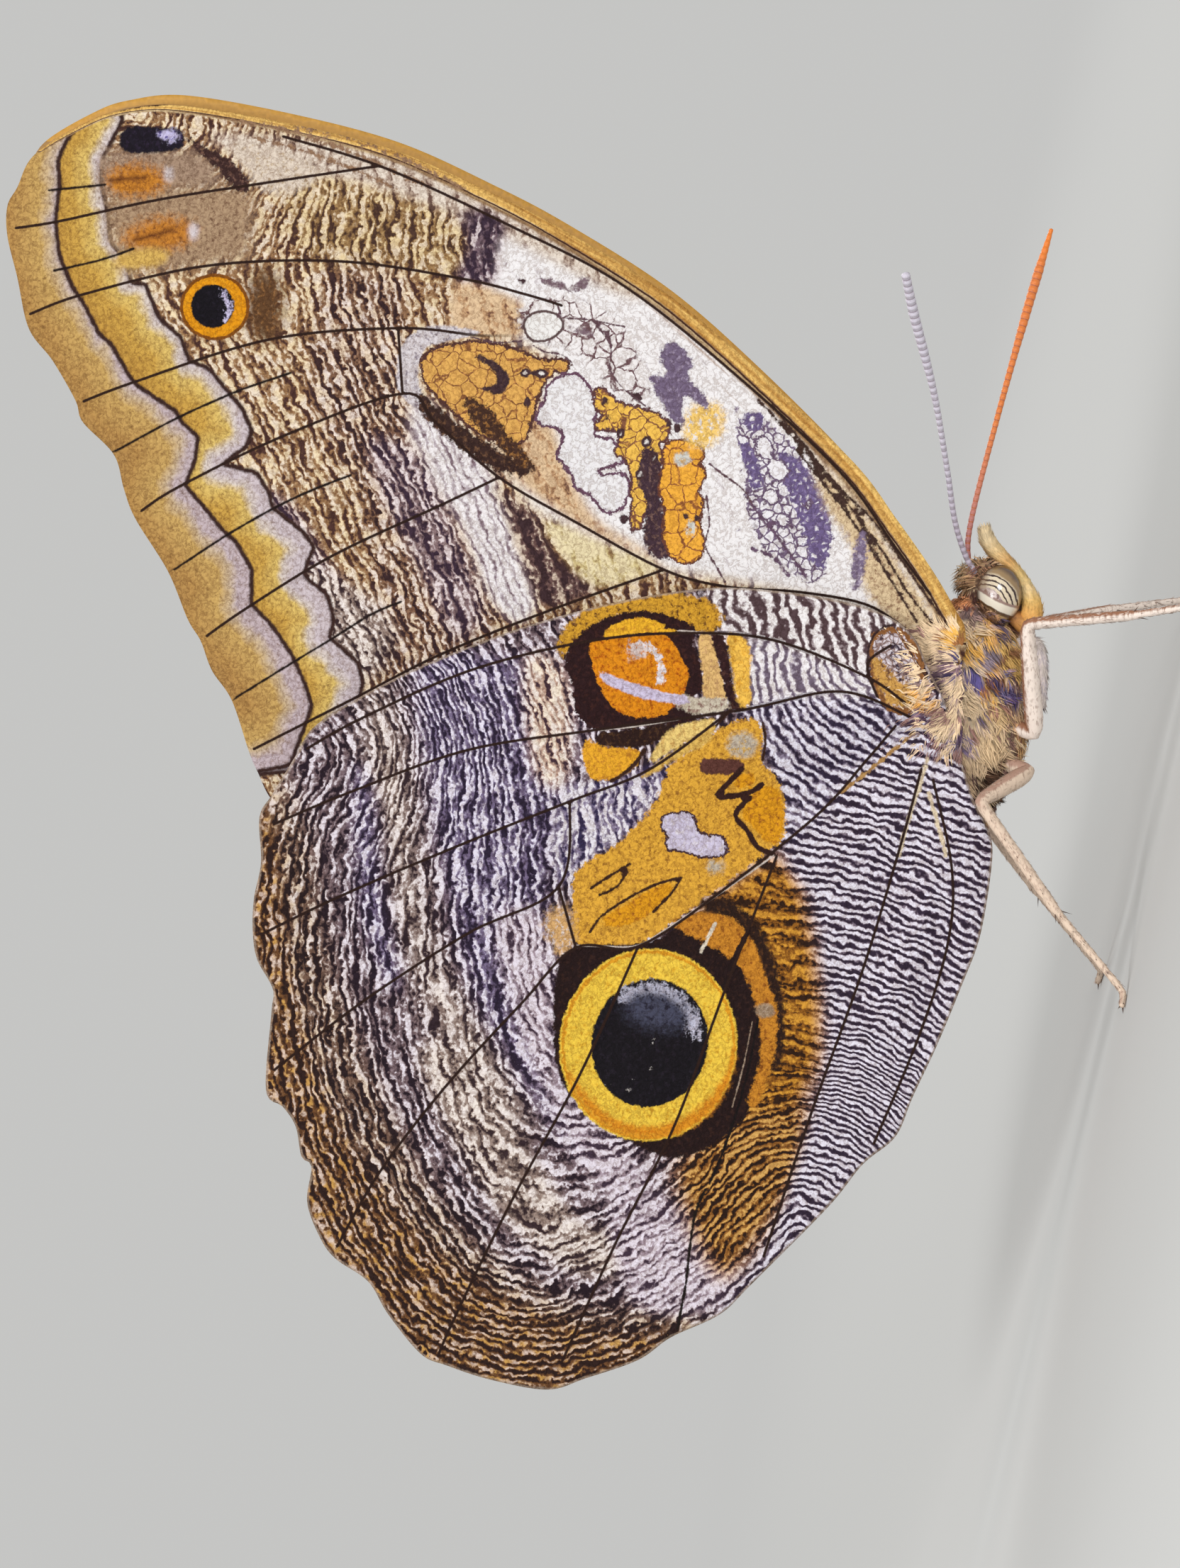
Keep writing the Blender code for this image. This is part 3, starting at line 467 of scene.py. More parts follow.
def paint(red, green, blue):
    """A colour as linear light from its 0 to 255 screen values."""
    screen = [value / 255 for value in (red, green, blue)]
    return tuple(v / 12.92 if v <= 0.04045 else ((v + 0.055) / 1.055) ** 2.4 for v in screen)


class Shader:
    """Short calls that build one material's node tree."""

    def __init__(self, name, roughness=0.7):
        self.material = bpy.data.materials.new(name)
        self.material.use_nodes = True
        self.tree = self.material.node_tree
        self.surface = self.tree.nodes["Principled BSDF"]
        self.surface.inputs["Roughness"].default_value = roughness

    def put(self, socket, value):
        if isinstance(value, bpy.types.NodeSocket):
            self.tree.links.new(value, socket)
        elif isinstance(value, (int, float)):
            socket.default_value = value
        elif len(value) == 3 and len(socket.default_value) == 4:
            socket.default_value = (*value, 1.0)
        else:
            socket.default_value = value

    def node(self, kind, inputs=(), **settings):
        """A new node with its settings made and its inputs filled, by name or number."""
        node = self.tree.nodes.new("ShaderNode" + kind)
        for setting, value in settings.items():
            setattr(node, setting, value)
        for socket, value in dict(inputs).items():
            self.put(node.inputs[socket], value)
        return node

    def attribute(self, name, output="Fac"):
        return self.node("Attribute", attribute_name=name).outputs[output]

    def math(self, operation, first, second=0.0):
        return self.node("Math", {0: first, 1: second}, operation=operation).outputs[0]

    def add(self, first, second):
        return self.math("ADD", first, second)

    def times(self, first, second):
        return self.math("MULTIPLY", first, second)

    def sine(self, value, period):
        return self.math("SINE", self.times(value, 2 * math.pi / period))

    def step(self, value, low, high):
        """0 below low, 1 above high."""
        node = self.node("MapRange", {"Value": value, "From Min": low, "From Max": high},
                         interpolation_type="SMOOTHSTEP")
        return node.outputs["Result"]

    def mix(self, share, first, second, blend="MIX"):
        inputs = {0: share, 6: first, 7: second}
        return self.node("Mix", inputs, data_type="RGBA", blend_type=blend).outputs[2]

    def darken(self, colour, tint):
        """A colour multiplied by another."""
        return self.mix(1.0, colour, tint, "MULTIPLY")

    def blend(self, share, first, second):
        """A number between two others."""
        return self.node("Mix", {0: share, 2: first, 3: second}, data_type="FLOAT").outputs[0]

    def noise(self, place, scale, detail=2.0, roughness=0.5):
        """Soft noise about zero, mostly within a half of it."""
        node = self.node("TexNoise", {"Vector": place, "Scale": scale, "Detail": detail,
                                      "Roughness": roughness})
        return self.add(node.outputs["Fac"], -0.5)

    def cells(self, place, scale):
        """Distance to the nearest edge between random cells."""
        inputs = {"Vector": place, "Scale": scale}
        return self.node("TexVoronoi", inputs, feature="DISTANCE_TO_EDGE").outputs["Distance"]

    def vector(self, x, y, z):
        return self.node("CombineXYZ", {0: x, 1: y, 2: z}).outputs[0]

    def shift(self, place, drift, amount):
        """A place moved by a share of another vector."""
        inputs = {0: drift, 1: (amount, amount, amount), 2: place}
        return self.node("VectorMath", inputs, operation="MULTIPLY_ADD").outputs["Vector"]

    def parts(self, vector):
        return self.node("SeparateXYZ", {0: vector}).outputs

    def stops(self, value, stops):
        """A colour read from (place, colour) stops."""
        node = self.node("ValToRGB", {0: value})
        elements = node.color_ramp.elements
        while len(elements) < len(stops):
            elements.new(0.5)
        for element, (place, colour) in zip(elements, stops):
            element.position = place
            element.color = (*colour, 1.0)
        return node.outputs["Color"]

    def bump(self, height, strength, distance):
        node = self.node("Bump", {"Height": height, "Strength": strength, "Distance": distance})
        self.put(self.surface.inputs["Normal"], node.outputs[0])

    def colour(self, value):
        self.put(self.surface.inputs["Base Color"], value)


# Ripple palettes: dark, middle and light tones, the dark share, how clean the stripes are and,
# where it isn't none, the share of pale flecks
PALETTES = {
    "ochre_ripple": ((78, 50, 44), (160, 122, 84), (236, 216, 178), 0.46, 0.45, 0.35),
    "brown_ripple": ((58, 38, 40), (136, 100, 76), (232, 212, 186), 0.48, 0.5, 0.5),
    "lilac_ripple": ((60, 42, 58), (140, 116, 118), (230, 218, 220), 0.52, 0.5),
    "speckle": ((76, 52, 42), (158, 124, 80), (230, 208, 162), 0.46, 0.45, 0.3),
    "umber_speckle": ((62, 42, 46), (112, 84, 80), (214, 196, 178), 0.57, 0.2),
    "violet_brown": ((58, 42, 58), (116, 94, 104), (214, 202, 206), 0.58, 0.3),
    "white": ((184, 172, 176), (222, 217, 219), (236, 233, 234), 0.10, 0.0),
    "costal_white": ((112, 86, 76), (188, 168, 152), (228, 216, 202), 0.35, 0.2),
    "cream": ((150, 120, 80), (212, 194, 140), (234, 220, 178), 0.28, 0.2),
    "tan": ((126, 90, 70), (198, 158, 118), (224, 194, 156), 0.34, 0.1),
    "outer_brown": ((48, 30, 26), (116, 78, 46), (202, 156, 84), 0.54, 0.6, 0.55),
    "brown_mid": ((42, 28, 30), (122, 94, 78), (224, 206, 184), 0.54, 0.45, 0.6),
    "mixed": ((40, 27, 38), (124, 104, 110), (231, 224, 235), 0.52, 0.45, 0.4),
    "blue_black": ((44, 34, 56), (118, 104, 136), (229, 225, 243), 0.51, 0.45, 0.3),
    "warm_streaks": ((70, 48, 58), (196, 164, 146), (242, 228, 208), 0.42, 0.5, 0.4),
    "white_ripple": ((132, 112, 122), (198, 188, 194), (238, 234, 236), 0.32, 0.8),
    "cream_reticule": ((58, 42, 46), (156, 136, 126), (240, 230, 222), 0.46, 0.45, 0.3),
    "anal": ((50, 38, 56), (130, 116, 132), (230, 227, 240), 0.46, 1.0),
    "base_reticule": ((48, 38, 60), (136, 124, 146), (230, 228, 242), 0.46, 0.8),
    "golden": ((50, 28, 14), (150, 96, 30), (214, 154, 54), 0.50, 0.2),
    "golden_ripple": ((44, 26, 18), (150, 98, 42), (218, 170, 94), 0.52, 0.6),
    "zebra": ((84, 64, 68), (160, 146, 150), (240, 237, 238), 0.48, 1.0),
    "zebra_grey": ((112, 98, 116), (176, 166, 180), (238, 235, 238), 0.42, 1.0),
    "pale_lilac": ((66, 50, 66), (166, 148, 160), (232, 224, 236), 0.40, 0.6),
    "lilac_net": ((52, 44, 78), (140, 128, 156), (234, 231, 240), 0.46, 0.35),
}

# Colours of the outer band's cells, from each dark line outwards over CELL_SPAN mm
CELL_SPAN = 6.0
INNER_CELL_STOPS = [(0.0, paint(206, 194, 200)), (0.09, paint(218, 206, 196)),
                    (0.18, paint(222, 192, 110)), (0.38, paint(206, 164, 76)),
                    (0.7, paint(188, 142, 62)), (1.0, paint(160, 112, 48))]
OUTER_CELL_STOPS = [(0.0, paint(196, 180, 186)), (0.10, paint(204, 182, 152)),
                    (0.22, paint(204, 168, 100)), (0.55, paint(184, 142, 80)),
                    (1.0, paint(160, 122, 74))]

# Zones as (palette, softness in mm, outline in pixels), each laid over those before it
FOREWING_ZONES = [
    ("ochre_ripple", 1.2, [(150, 150), (480, 150), (480, 640), (560, 1060), (250, 1060), (60, 300)]),
    ("brown_ripple", 1.0, [(470, 360), (560, 360), (580, 560), (640, 700), (700, 900), (560, 960),
        (510, 700), (440, 560)]),
    ("lilac_ripple", 0.7, [(520, 620), (590, 640), (640, 740), (680, 860), (640, 900), (590, 800),
        (540, 700)]),
    ("lilac_ripple", 0.6, [(375, 690), (420, 720), (455, 780), (500, 850), (480, 870), (440, 810),
        (385, 740)]),
    ("cream_reticule", 0.8, [(430, 800), (520, 840), (560, 900), (520, 960), (450, 900)]),
    ("speckle", 1.0, [(395, 235), (480, 240), (560, 262), (640, 300), (665, 340), (650, 395), (560, 378),
        (430, 362)]),
    ("violet_brown", 0.5, [(640, 292), (688, 292), (722, 318), (712, 350), (706, 402), (668, 408),
        (640, 396), (660, 344)]),
    ("white", 0.6, [(700, 300), (860, 380), (1020, 500), (1160, 660), (1280, 800), (1330, 890),
        (1180, 850), (1040, 820), (930, 800), (830, 760), (740, 700), (700, 600), (790, 520), (720, 470),
        (690, 400)]),
    ("costal_white", 0.5, [(300, 188), (520, 215), (700, 290), (900, 390), (880, 420), (700, 330),
        (520, 262), (360, 232)]),
    ("violet_brown", 0.5, [(652, 300), (690, 298), (716, 320), (704, 350), (702, 396), (668, 400),
        (674, 344)]),
    ("tan", 0.4, [(640, 404), (680, 404), (738, 430), (744, 470), (700, 478), (640, 470)]),
    ("tan", 0.5, [(700, 600), (760, 560), (800, 660), (840, 730), (900, 770), (930, 795), (830, 750),
        (720, 670)]),
    ("white_ripple", 0.6, [(590, 560), (640, 600), (700, 676), (690, 700), (640, 680), (580, 620)]),
    ("white_ripple", 0.5, [(600, 650), (700, 700), (725, 760), (755, 850), (730, 880), (690, 840),
        (655, 750)]),
    ("umber_speckle", 0.45, [(700, 690), (755, 725), (775, 770), (800, 800), (845, 830), (770, 858),
        (745, 820), (722, 750)]),
    ("cream", 0.35, [(770, 735), (870, 775), (930, 800), (850, 828), (812, 805), (788, 775)]),
]
HINDWING_ZONES = [
    ("mixed", 3.0, [(200, 700), (1400, 700), (1400, 2000), (200, 2000)]),
    ("cream_reticule", 2.0, [(525, 960), (572, 1060), (588, 1200), (610, 1330), (680, 1450), (740, 1560),
        (720, 1600), (640, 1500), (580, 1360), (552, 1220), (522, 1080)]),
    ("blue_black", 1.2, [(590, 920), (700, 925), (800, 945), (812, 1080), (782, 1200), (772, 1330),
        (776, 1440), (800, 1530), (850, 1620), (800, 1610), (720, 1500), (660, 1380), (630, 1250),
        (606, 1120)]),
    ("warm_streaks", 0.8, [(742, 930), (800, 950), (806, 1060), (790, 1110), (752, 1080)]),
    ("blue_black", 0.9, [(500, 1080), (530, 1130), (540, 1250), (565, 1380), (540, 1380), (505, 1260)]),
    ("pale_lilac", 0.9, [(700, 1290), (765, 1290), (780, 1400), (800, 1520), (900, 1640), (960, 1740),
        (920, 1760), (820, 1640), (750, 1500), (715, 1390)]),
    ("brown_mid", 1.4, [(330, 1040), (430, 1150), (470, 1350), (540, 1540), (650, 1720), (800, 1830),
        (980, 1850), (1000, 1960), (600, 2050), (300, 1700)]),
    ("outer_brown", 0.9, [(340, 1100), (390, 1160), (410, 1350), (460, 1540), (560, 1700), (700, 1820),
        (860, 1875), (980, 1880), (1000, 1960), (600, 2050), (300, 1700)]),
    ("lilac_net", 0.3, [(800, 1110), (870, 1100), (940, 1072), (925, 1130), (895, 1165), (860, 1195),
        (815, 1225), (790, 1250), (780, 1180)]),
    ("cream_reticule", 0.8, [(590, 1500), (640, 1470), (700, 1560), (760, 1640), (820, 1720), (900, 1740),
        (900, 1790), (800, 1790), (690, 1690)]),
    ("pale_lilac", 0.6, [(860, 1700), (960, 1700), (1040, 1780), (1020, 1840), (900, 1840)]),
    ("golden", 1.1, [(1000, 1262), (1070, 1212), (1110, 1215), (1135, 1260), (1150, 1330), (1158, 1400),
        (1160, 1480), (1140, 1540), (1110, 1590), (1050, 1600), (990, 1620), (960, 1500), (960, 1330)]),
    ("golden_ripple", 1.2, [(950, 1650), (1000, 1600), (1060, 1570), (1128, 1560), (1134, 1620),
        (1110, 1690), (1070, 1750), (1024, 1800), (985, 1760)]),
    ("anal", 0.6, [(1110, 1200), (1200, 1080), (1260, 1010), (1400, 1000), (1400, 1500), (1200, 1900),
        (1020, 1860), (1080, 1760), (1130, 1620), (1165, 1500), (1160, 1360), (1140, 1260)]),
    ("base_reticule", 0.5, [(1040, 1000), (1060, 940), (1140, 900), (1260, 940), (1290, 1010),
        (1200, 1090), (1110, 1200), (1098, 1110), (1075, 1060)]),
    ("zebra", 0.25, [(1005, 815), (1120, 820), (1240, 850), (1275, 880), (1240, 910), (1220, 960),
        (1150, 935), (1060, 900), (1012, 885)]),
    ("zebra_grey", 0.3, [(1056, 905), (1140, 930), (1235, 960), (1225, 985), (1100, 985), (1058, 996)]),
]


# The two dark scalloped lines of the forewing's outer band, and pixels beyond the margin
OUTER_LINE = [
    (112, 178), (96, 200), (84, 227), (86, 263), (80, 313), (86, 363), (104, 406), (121, 431), (143, 474),
    (157, 484), (186, 534), (196, 545), (250, 581), (257, 595), (281, 617), (277, 649), (263, 685),
    (288, 714), (320, 753), (334, 764), (356, 803), (356, 853), (384, 881), (413, 924), (431, 964),
    (441, 996), (431, 1024), (410, 1080),
]
INNER_LINE = [
    (176, 168), (160, 200), (146, 227), (145, 263), (154, 302), (157, 341), (182, 370), (186, 399),
    (207, 402), (225, 449), (257, 477), (268, 509), (296, 520), (325, 556), (343, 577), (357, 609),
    (349, 631), (316, 655), (363, 667), (381, 696), (386, 717), (427, 749), (445, 771), (434, 796),
    (431, 814), (463, 839), (472, 874), (466, 899), (506, 935), (513, 964), (500, 1010), (480, 1080),
]
BEYOND_MARGIN = [(300, 1100), (-100, 1100), (-100, 60), (100, 60)]


def patch(*outlines, fill, speck=None, soft=0.07, rough=0.25, rim=None, rim_half=0.09, net=None):
    """A marking with closed outlines in pixels, rimmed where rim has a colour.

    A net has the cells' number in a mm, the lines' half width and the colour between them.
    """
    return {"outlines": outlines, "fill": fill, "speck": speck or fill, "soft": soft,
            "rough": rough, "rim": rim, "rim_half": rim_half, "net": net}


def stroke(*lines, half, fill, soft=0.05, rough=0.06):
    """A marking drawn along open lines in pixels, half a width in mm to each side."""
    return {"lines": lines, "half": half, "fill": fill, "speck": fill, "soft": soft,
            "rough": rough, "rim": None, "rim_half": 0, "net": None}


SNOW = (232, 230, 232)
LILAC = (206, 198, 222)

FOREWING_MARKS = {
    "taupe_cell": patch(
        [(152, 217), (262, 215), (300, 222), (306, 262), (250, 270), (152, 278)], fill=(166, 140, 118),
        speck=(134, 108, 88), soft=0.8, rough=0.9),
    "taupe_cell_lower": patch(
        [(160, 282), (300, 268), (350, 266), (356, 300), (350, 360), (300, 372), (200, 385), (172, 380)],
        fill=(174, 146, 116), speck=(136, 106, 82), soft=0.9, rough=0.9),
    "smudge_upper": patch(
        oval(193, 256, 42, 23), fill=(196, 128, 44), speck=(150, 92, 38), soft=0.6, rough=0.8),
    "smudge_lower": patch(
        oval(226, 333, 50, 24, -8), fill=(194, 126, 46), speck=(148, 92, 40), soft=0.7, rough=0.8),
    "smudge_cream": patch(oval(200, 366, 40, 14, -8), fill=(214, 176, 92), soft=0.4, rough=0.3),
    "smudge_lines": stroke(
        [(156, 256), (180, 254), (206, 252)], [(190, 340), (215, 334), (244, 326)], half=0.12,
        fill=(104, 56, 24), soft=0.25),
    "smudge_tips": patch(
        oval(239, 247, 6, 12), oval(274, 328, 7, 14), fill=(218, 210, 214), soft=0.3, rough=0.2),
    "subapical_bar": patch(
        [(173, 186), (190, 180), (225, 181), (255, 184), (263, 200), (250, 214), (215, 217), (185, 218),
        (170, 207)], fill=(28, 22, 34), speck=(44, 34, 54), soft=0.12, rough=0.2),
    "bar_light": patch(
        oval(240, 193, 17, 9), fill=(196, 190, 226), speck=(90, 80, 140), soft=0.2, rough=0.5),
    "apical_blotch": patch(
        [(262, 192), (284, 204), (306, 216), (332, 232), (352, 256), (356, 270), (334, 270), (318, 252),
        (300, 234), (280, 216)], fill=(62, 40, 38), speck=(118, 86, 74), soft=0.15, rough=0.55),
    "apical_streak": patch(
        [(330, 204), (380, 208), (440, 232), (440, 262), (380, 272), (345, 236)], fill=(222, 208, 192),
        speck=(190, 168, 140), soft=0.4, rough=0.4),
    "ocellus_shade": patch(
        oval(374, 432, 26, 52), fill=(96, 66, 40), speck=(140, 98, 56), soft=0.9, rough=0.5),
    "ocellus_ring": patch(
        oval(304, 434, 47, 45), fill=(226, 150, 16), speck=(232, 162, 30), soft=0.10, rough=0.10,
        rim=(130, 76, 20), rim_half=0.1),
    "ocellus_pupil": patch(
        oval(301, 433, 31, 31), fill=(18, 14, 22), speck=(30, 24, 36), soft=0.07, rough=0.14),
    "ocellus_light": patch(
        [(312, 408), (324, 418), (330, 432), (326, 448), (318, 456), (317, 444), (320, 432), (316, 420)],
        fill=(206, 200, 232), speck=(70, 62, 96), soft=0.12, rough=0.5),
    "cell_end_white": patch(
        [(560, 540), (562, 505), (572, 482), (592, 466), (625, 460), (680, 470), (640, 480), (602, 492),
        (590, 520), (592, 548), (604, 575), (590, 580), (568, 560)], fill=(216, 210, 214),
        speck=(150, 140, 150), soft=0.1, rough=0.2),
    "cell_bar": patch(
        [(590, 552), (612, 570), (640, 592), (672, 616), (710, 640), (752, 656), (742, 672), (700, 664),
        (660, 642), (620, 610), (594, 582)], fill=(58, 38, 34), speck=(110, 78, 56), soft=0.12,
        rough=0.5),
    "cell_end_oval": patch(
        [(594, 520), (600, 500), (622, 490), (670, 483), (720, 491), (757, 506), (795, 508), (806, 514),
        (800, 525), (779, 528), (762, 555), (752, 590), (740, 622), (712, 628), (671, 609), (629, 572),
        (602, 545)], fill=(140, 92, 56), speck=(196, 138, 76), soft=0.1, rough=0.35, rim=(86, 54, 50),
        rim_half=0.09, net=(0.9, 0.022, (226, 174, 92))),
    "cell_hook": patch(
        [(662, 500), (690, 505), (706, 518), (718, 530), (716, 548), (702, 558), (686, 554), (676, 546),
        (694, 546), (702, 538), (698, 526), (682, 513)], fill=(64, 44, 50), speck=(90, 66, 62), soft=0.08,
        rough=0.2),
    "cell_under": patch(
        [(655, 560), (680, 572), (702, 590), (716, 612), (738, 636), (754, 654), (736, 660), (712, 640),
        (690, 618), (664, 592)], fill=(70, 46, 36), speck=(160, 112, 60), soft=0.12, rough=0.55),
    "net_upper": patch(
        [(742, 428), (790, 420), (850, 440), (884, 470), (908, 520), (912, 566), (872, 560), (840, 520),
        (800, 492), (760, 484), (730, 460)], fill=(112, 84, 88), speck=(214, 204, 204), soft=0.25,
        rough=0.6, net=(0.85, 0.03, (235, 231, 231))),
    "cell_lens": patch(
        [(738, 458), (748, 445), (768, 440), (788, 446), (795, 460), (786, 473), (768, 482), (748, 480)],
        fill=(232, 230, 228), soft=0.06, rough=0.1, rim=(92, 72, 72), rim_half=0.08),
    "cell_white": patch(
        [(784, 535), (801, 528), (818, 530), (832, 551), (845, 577), (836, 589), (842, 602), (838, 618),
        (860, 619), (877, 634), (882, 652), (864, 657), (846, 661), (844, 672), (862, 668), (885, 673),
        (888, 695), (877, 716), (864, 724), (849, 720), (835, 703), (810, 686), (808, 673), (795, 657),
        (784, 640), (793, 627), (793, 610), (776, 602), (758, 598), (759, 577), (771, 564), (769, 551)],
        fill=SNOW, speck=(222, 218, 222), soft=0.05, rough=0.3, rim=(104, 72, 92), rim_half=0.1),
    "cell_yellow": patch(
        [(838, 550), (852, 548), (866, 562), (880, 572), (905, 576), (925, 583), (946, 600), (938, 622),
        (926, 628), (936, 642), (930, 662), (922, 700), (908, 730), (900, 752), (888, 742), (890, 715),
        (888, 690), (890, 668), (880, 648), (866, 640), (872, 618), (862, 604), (845, 612), (838, 600),
        (850, 588), (838, 572)], fill=(130, 84, 60), speck=(206, 152, 72), soft=0.06, rough=0.35,
        rim=(96, 62, 64), rim_half=0.09, net=(1.1, 0.03, (238, 190, 84))),
    "cell_dark": patch(
        [(905, 640), (922, 632), (932, 660), (934, 705), (938, 750), (944, 790), (916, 782), (906, 750),
        (912, 712), (900, 680)], fill=(66, 46, 56), speck=(120, 92, 84), soft=0.1, rough=0.45),
    "cell_orange": patch(
        [(936, 628), (960, 620), (986, 628), (994, 640), (986, 655), (996, 670), (986, 690), (991, 715),
        (986, 740), (993, 760), (990, 785), (962, 796), (942, 780), (934, 750), (937, 720), (928, 690),
        (934, 660)], fill=(150, 92, 50), speck=(206, 140, 60), soft=0.06, rough=0.3, rim=(104, 62, 50),
        rim_half=0.08, net=(0.8, 0.022, (240, 174, 62))),
    "cell_gold_light": patch(
        oval(992, 600, 28, 34, 30), fill=(240, 200, 110), speck=SNOW, soft=0.5, rough=0.6),
    "cell_grey": patch(
        oval(962, 648, 14, 10), oval(974, 746, 6, 16), fill=(206, 206, 200), speck=(214, 170, 100),
        soft=0.15, rough=0.4),
    "blotch_upper": patch(
        [(934, 490), (946, 483), (964, 494), (978, 516), (968, 532), (986, 552), (1004, 578), (988, 574),
        (966, 560), (962, 590), (972, 606), (954, 600), (934, 572), (916, 532), (938, 530), (930, 508)],
        fill=(112, 96, 122), speck=(150, 136, 160), soft=0.12, rough=0.45),
    "blotch_net": patch(
        [(1042, 592), (1062, 580), (1084, 596), (1112, 622), (1142, 660), (1164, 700), (1172, 742),
        (1164, 800), (1146, 824), (1112, 806), (1080, 776), (1058, 744), (1050, 700), (1046, 650),
        (1038, 616)], fill=(118, 100, 126), speck=(96, 72, 92), soft=0.1, rough=0.5, net=(1.5, 0.05,
        (232, 229, 233))),
    "blotch_solid": patch(
        [(1098, 640), (1126, 650), (1152, 685), (1168, 725), (1170, 762), (1160, 804), (1140, 790),
        (1130, 750), (1118, 715), (1108, 690), (1092, 664)], [(1046, 592), (1062, 581), (1080, 594),
        (1066, 608), (1050, 606)], [(1042, 626), (1058, 630), (1070, 660), (1074, 690), (1060, 690),
        (1050, 660)], fill=(106, 90, 132), speck=(134, 118, 158), soft=0.1, rough=0.5, net=(2.1, 0.17,
        (232, 229, 233))),
    "blotch_lines": stroke(
        [(1052, 702), (1074, 732), (1100, 764), (1136, 816)], [(1060, 774), (1088, 786), (1112, 812)],
        [(1078, 740), (1100, 738), (1118, 744)], half=0.12, fill=(100, 76, 98), soft=0.08, rough=0.3),
    "blotch_islands": patch(
        oval(1076, 632, 12, 18, -20), oval(1096, 664, 14, 18, -35), oval(1086, 702, 13, 11),
        oval(1104, 734, 10, 12), oval(1138, 712, 5, 10), fill=(232, 229, 233), soft=0.06, rough=0.35,
        rim=(104, 84, 108), rim_half=0.07),
    "base_tan": patch(
        [(1146, 650), (1200, 700), (1262, 790), (1318, 884), (1262, 884), (1216, 830), (1196, 770),
        (1160, 710)], fill=(216, 192, 154), speck=(158, 126, 98), soft=0.5, rough=0.5),
    "base_lines": stroke(
        [(1088, 573), (1133, 629), (1181, 688), (1229, 736), (1267, 789), (1299, 837), (1331, 880)],
        [(1069, 565), (1117, 619), (1165, 675), (1208, 731), (1245, 784), (1277, 837), (1315, 885)],
        [(1123, 636), (1160, 684), (1197, 732), (1229, 780), (1261, 832), (1290, 880)], half=0.09,
        fill=(64, 44, 38), soft=0.07, rough=0.22),
    "blotch_small": patch(
        oval(1037, 578, 5, 6), oval(1040, 746, 4, 4), oval(1210, 792, 9, 44, 8), fill=(120, 104, 130),
        speck=(180, 168, 186), soft=0.15, rough=0.5),
    "islands": patch(
        oval(741, 527, 7, 7), oval(763, 528, 9, 7), oval(744, 568, 5, 7), oval(852, 568, 6, 6),
        oval(857, 590, 5, 5), oval(911, 624, 7, 9), oval(921, 646, 6, 9), oval(904, 670, 8, 8),
        oval(944, 597, 5, 6), oval(955, 604, 5, 7), oval(897, 560, 8, 5, 30), oval(875, 612, 6, 8),
        oval(928, 676, 5, 6), oval(880, 733, 7, 6), oval(968, 728, 6, 4), oval(982, 732, 6, 5),
        oval(735, 398, 6, 5), fill=(228, 224, 220), soft=0.05, rough=0.12, rim=(70, 48, 52),
        rim_half=0.08),
    "threads": stroke(
        [(786, 446), (800, 450), (830, 452), (860, 458), (880, 462)], [(782, 424), (790, 440),
        (786, 448)], [(858, 470), (862, 500), (860, 522), (876, 546), (896, 562), (910, 574)],
        [(838, 456), (852, 474), (862, 488)], [(735, 482), (700, 484), (664, 476)], [(806, 512),
        (790, 500), (770, 498), (752, 488)], [(1000, 655), (1016, 668), (1046, 690), (1060, 712)],
        [(996, 700), (1000, 740), (994, 770), (1010, 800), (1022, 822)], half=0.06, fill=(96, 70, 78),
        soft=0.05, rough=0.15),
    "violet_marks": patch(
        [(800, 412), (822, 392), (836, 398), (822, 410)], [(760, 392), (790, 398), (805, 410),
        (780, 408)], [(802, 462), (828, 466), (840, 476), (820, 474)], fill=(120, 98, 108),
        speck=(160, 146, 150), soft=0.12, rough=0.4),
    "apex_line": stroke(
        [(168, 160), (200, 152), (250, 148), (320, 148), (390, 153), (450, 164), (510, 182), (570, 202),
        (640, 232), (700, 264)], half=0.06, fill=(74, 46, 32), soft=0.05, rough=0.12),
    "tip_streaks": stroke(
        [(330, 172), (400, 184), (470, 206), (540, 236), (600, 262)], [(360, 196), (430, 214), (500, 240),
        (560, 268)], [(420, 180), (500, 200), (580, 230), (660, 270)], half=0.12, fill=(150, 118, 92),
        soft=0.12, rough=0.5),
    "band_folds": stroke(
        [(157, 641), (250, 591), (321, 559), (357, 545), (411, 527)], [(241, 808), (320, 756), (388, 717),
        (441, 692), (495, 671)], [(329, 987), (413, 935), (466, 903), (524, 867), (566, 849)], [(78, 383),
        (110, 376), (150, 366), (190, 352)], [(70, 270), (110, 266), (150, 262)], half=0.09,
        fill=(30, 18, 16), soft=0.06),
}
